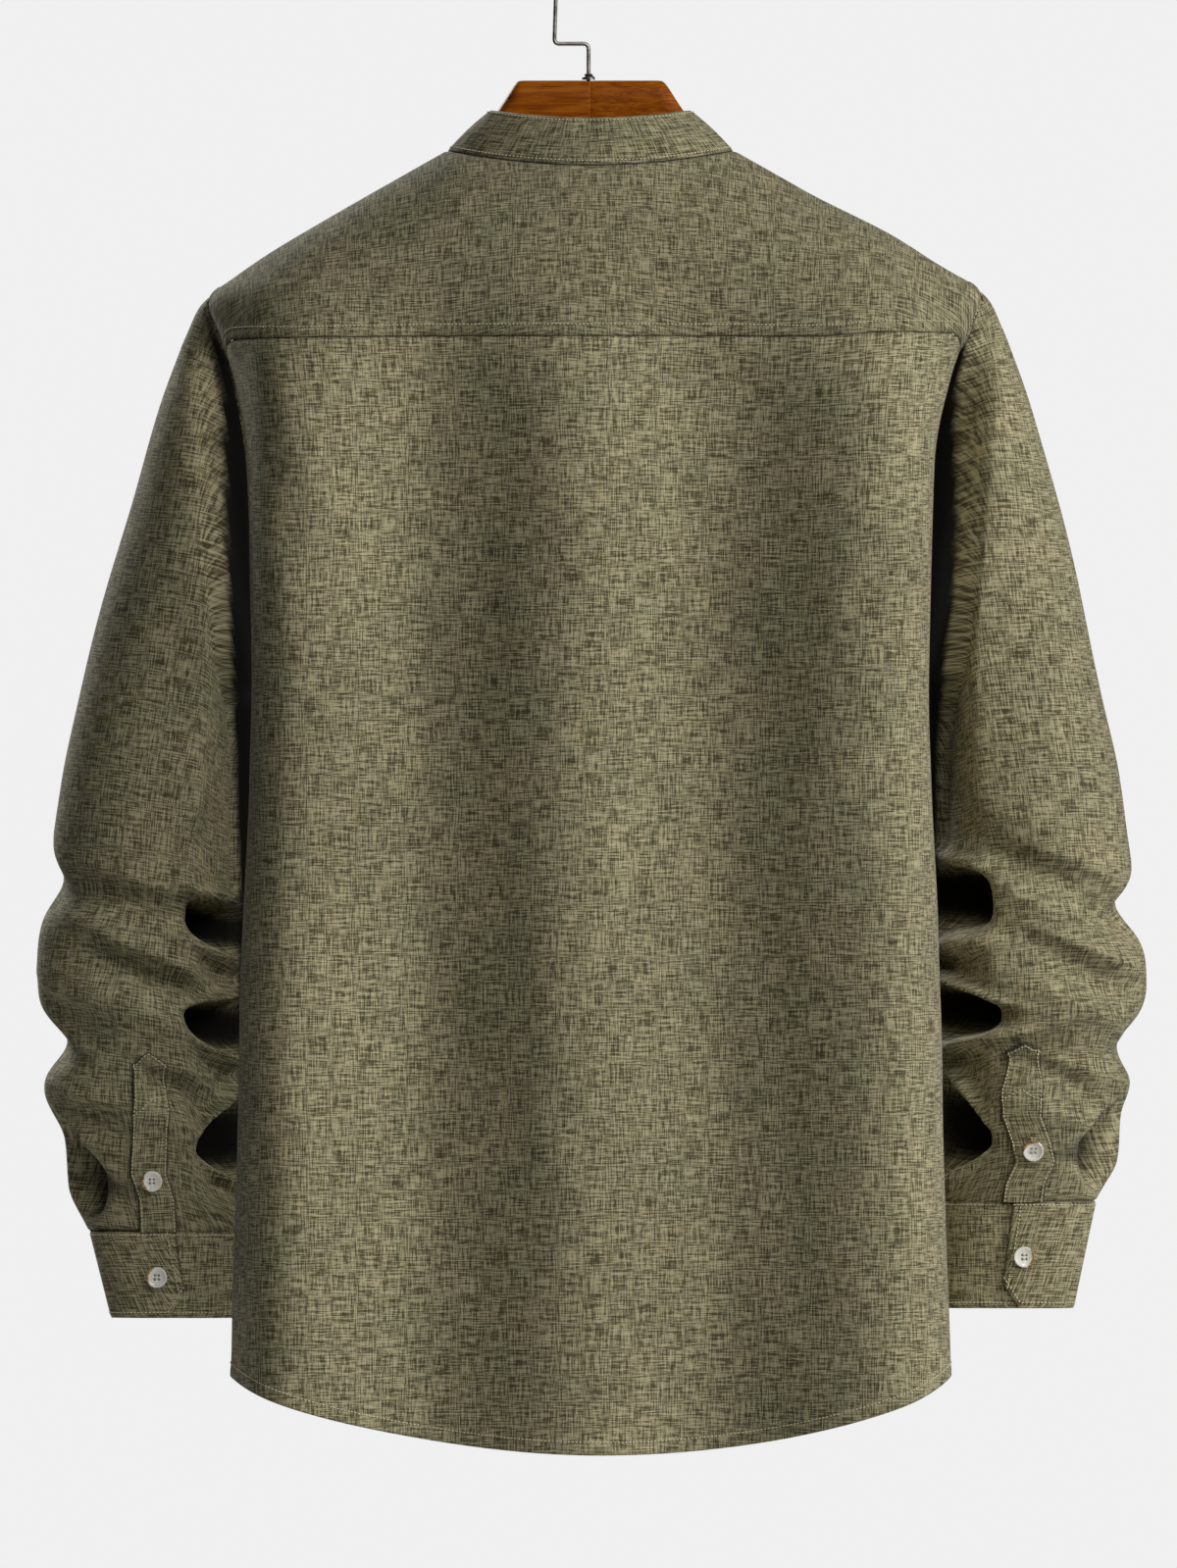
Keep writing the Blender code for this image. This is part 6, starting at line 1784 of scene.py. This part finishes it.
class ShirtCloth(bpy.types.PropertyGroup):
    dark: colour_setting("Dark thread", "Colour of the weave's dark threads", (0.078, 0.064, 0.031))
    middle: colour_setting("Thread", "Colour of most of the threads", (0.262, 0.227, 0.128))
    light: colour_setting("Light thread", "Colour of the pale slubs", (0.520, 0.458, 0.280))
    # Painted shade colour, mixed in deep in creases, in the gap beside the body and beside seams.
    painted_shade: colour_setting("Hollows", "Colour of the cloth deep in its creases",
                           (0.004, 0.0035, 0.002))
    patch: colour_setting("Patches", "Tint of the greyer patches", (0.86, 0.92, 0.91))
    thread_gap: size_setting("Thread gap", "Distance between the weave's heavier threads", 0.00090)
    slub_length: size_setting("Slub length", "Usual length of a slub", 0.016)
    patch_rate: FloatProperty(name="Patch rate", description="Patches to a metre", default=21.0)
    # How much darker the cloth of the yoke and the collar is.
    yoke_collar_tone: FloatProperty(name="Across tone", description="Brightness of the cloth that is "
                               "cut with its threads the other way", default=0.86)
    weave_bump: FloatProperty(name="Weave bump", description="Strength of the weave's relief",
                              default=0.55, subtype="FACTOR")
    weave_height: size_setting("Weave height", "Height of the weave's relief", 0.0004)


class ShirtSewing(bpy.types.PropertyGroup):
    colour: colour_setting("Thread", "Colour of the sewing thread", (0.80, 0.73, 0.50))
    pitch: size_setting("Pitch", "Distance from stitch to stitch", 0.0024)
    length: size_setting("Stitch", "Length of a stitch", 0.0017)
    width: size_setting("Thread width", "Thickness of the sewing thread", 0.00070)


class ShirtButtons(bpy.types.PropertyGroup):
    pearl: colour_setting("Pearl", "Colour of the shell", (0.97, 0.95, 0.86))
    brown: colour_setting("Brown", "Colour of the shell's outer layer", (0.20, 0.09, 0.025))
    amber: colour_setting("Amber", "Colour of the outer layer where it is thin",
                          (0.58, 0.36, 0.13))


class ShirtHanger(bpy.types.PropertyGroup):
    varnish: colour_setting("Varnish", "Colour of the varnished wood", (0.290, 0.070, 0.002))
    dark_grain: colour_setting("Dark grain", "Colour of the wood's dark grain",
                               (0.14, 0.028, 0.001))
    light_grain: colour_setting("Light grain", "Colour of the wood's pale grain",
                                (0.42, 0.130, 0.008))
    metal: colour_setting("Metal", "Colour of the plated wire", (0.42, 0.40, 0.37))


class ShirtStage(bpy.types.PropertyGroup):
    distance: size_setting("Camera distance", "Camera to the shirt's back", 24.0)
    view_height: size_setting("View height", "Height of the view at the shirt's back", 0.9594)
    near_face: size_setting("Near face", "How far behind the middle the shirt's back lies", 0.07)
    centre_x: size_setting("Centre X", "The view's middle, from side to side", 0.0012)
    centre_z: size_setting("Centre Z", "The view's middle, in height", -0.5027)
    key_turn: angle_setting("Key turn", "The key light's angle off the camera", 66)
    key_rise: angle_setting("Key rise", "The key light's height", 22)
    key_size: size_setting("Key size", "Width of the key light", 2.6)
    key_power: power_setting("Key power", 490.0)
    fill_turn: angle_setting("Fill turn", "The fill light's angle off the camera", 17)
    fill_rise: angle_setting("Fill rise", "The fill light's height", 36)
    fill_power: power_setting("Fill power", 165.0)
    sleeve_turn: angle_setting("Sleeve light turn", "The sleeve light's angle off the camera", 48)
    sleeve_power: power_setting("Sleeve light power", 46.0)
    front_power: power_setting("Front power", 60.0)
    ambient: number_setting("Ambient", "Strength of the surroundings' light", 0.02)
    backdrop: colour_setting("Backdrop", "Colour that shows round the shirt", (0.871,) * 3)


class SHIRT_OT_body(bpy.types.Operator):
    """Build the back, the yoke, the two fronts and the button band"""
    bl_idname = "shirt.body"
    bl_label = "Body Panels"

    def execute(self, context):
        make_back()
        make_yoke()
        make_front(+1)
        make_front(-1)
        make_front_band()
        return {"FINISHED"}


class SHIRT_OT_collar(bpy.types.Operator):
    """Build the mandarin collar"""
    bl_idname = "shirt.collar"
    bl_label = "Collar"

    def execute(self, context):
        make_collar()
        return {"FINISHED"}


class SHIRT_OT_sleeves(bpy.types.Operator):
    """Build the sleeves with their plackets and cuffs"""
    bl_idname = "shirt.sleeves"
    bl_label = "Sleeves and Cuffs"

    def execute(self, context):
        for side in (+1, -1):
            make_sleeve(side)
            make_cuff(side)
            make_sleeve_placket(side)
        return {"FINISHED"}


class SHIRT_OT_sewing(bpy.types.Operator):
    """Sew the visible rows of stitches"""
    bl_idname = "shirt.sewing"
    bl_label = "Stitches"

    def execute(self, context):
        make_sewing()
        return {"FINISHED"}


class SHIRT_OT_buttons(bpy.types.Operator):
    """Model one shell button and sew it on wherever the shirt has one"""
    bl_idname = "shirt.buttons"
    bl_label = "Buttons"

    def execute(self, context):
        make_buttons()
        return {"FINISHED"}


class SHIRT_OT_hanger(bpy.types.Operator):
    """Model the wooden hanger and finish its wire"""
    bl_idname = "shirt.hanger"
    bl_label = "Hanger"

    def execute(self, context):
        make_hanger()
        return {"FINISHED"}


class SHIRT_OT_stage(bpy.types.Operator):
    """Set up the camera, the lights and the floor"""
    bl_idname = "shirt.stage"
    bl_label = "Stage"

    def execute(self, context):
        make_stage()
        return {"FINISHED"}


class SHIRT_PT_panel(bpy.types.Panel):
    """The shirt's settings and the buttons that build it"""
    bl_idname = "SHIRT_PT_panel"
    bl_label = "Mandarin Collar Shirt"
    bl_space_type = "VIEW_3D"
    bl_region_type = "UI"
    bl_category = "Shirt"

    def draw(self, context):
        for kind in SETTINGS:
            box = self.layout.box()
            group = getattr(context.scene, kind)
            for key in group.__annotations__:
                box.prop(group, key)
        for kind in STEPS:
            self.layout.operator(kind.bl_idname)


SETTINGS = {"shirt_cloth": ShirtCloth, "shirt_sewing": ShirtSewing, "shirt_buttons": ShirtButtons,
            "shirt_hanger": ShirtHanger, "shirt_stage": ShirtStage}
STEPS = (SHIRT_OT_body, SHIRT_OT_collar, SHIRT_OT_sleeves, SHIRT_OT_sewing, SHIRT_OT_buttons,
         SHIRT_OT_hanger, SHIRT_OT_stage)


def register():
    for kind in (*SETTINGS.values(), *STEPS, SHIRT_PT_panel):
        bpy.utils.register_class(kind)
    for name, kind in SETTINGS.items():
        setattr(bpy.types.Scene, name, PointerProperty(type=kind))


def unregister():
    for name in SETTINGS:
        delattr(bpy.types.Scene, name)
    for kind in (SHIRT_PT_panel, *STEPS, *SETTINGS.values()):
        bpy.utils.unregister_class(kind)


def main():
    register()
    bpy.ops.shirt.body()
    bpy.ops.shirt.collar()
    bpy.ops.shirt.sleeves()
    bpy.ops.shirt.sewing()
    bpy.ops.shirt.buttons()
    bpy.ops.shirt.hanger()
    bpy.ops.shirt.stage()


if __name__ == "__main__":
    main()
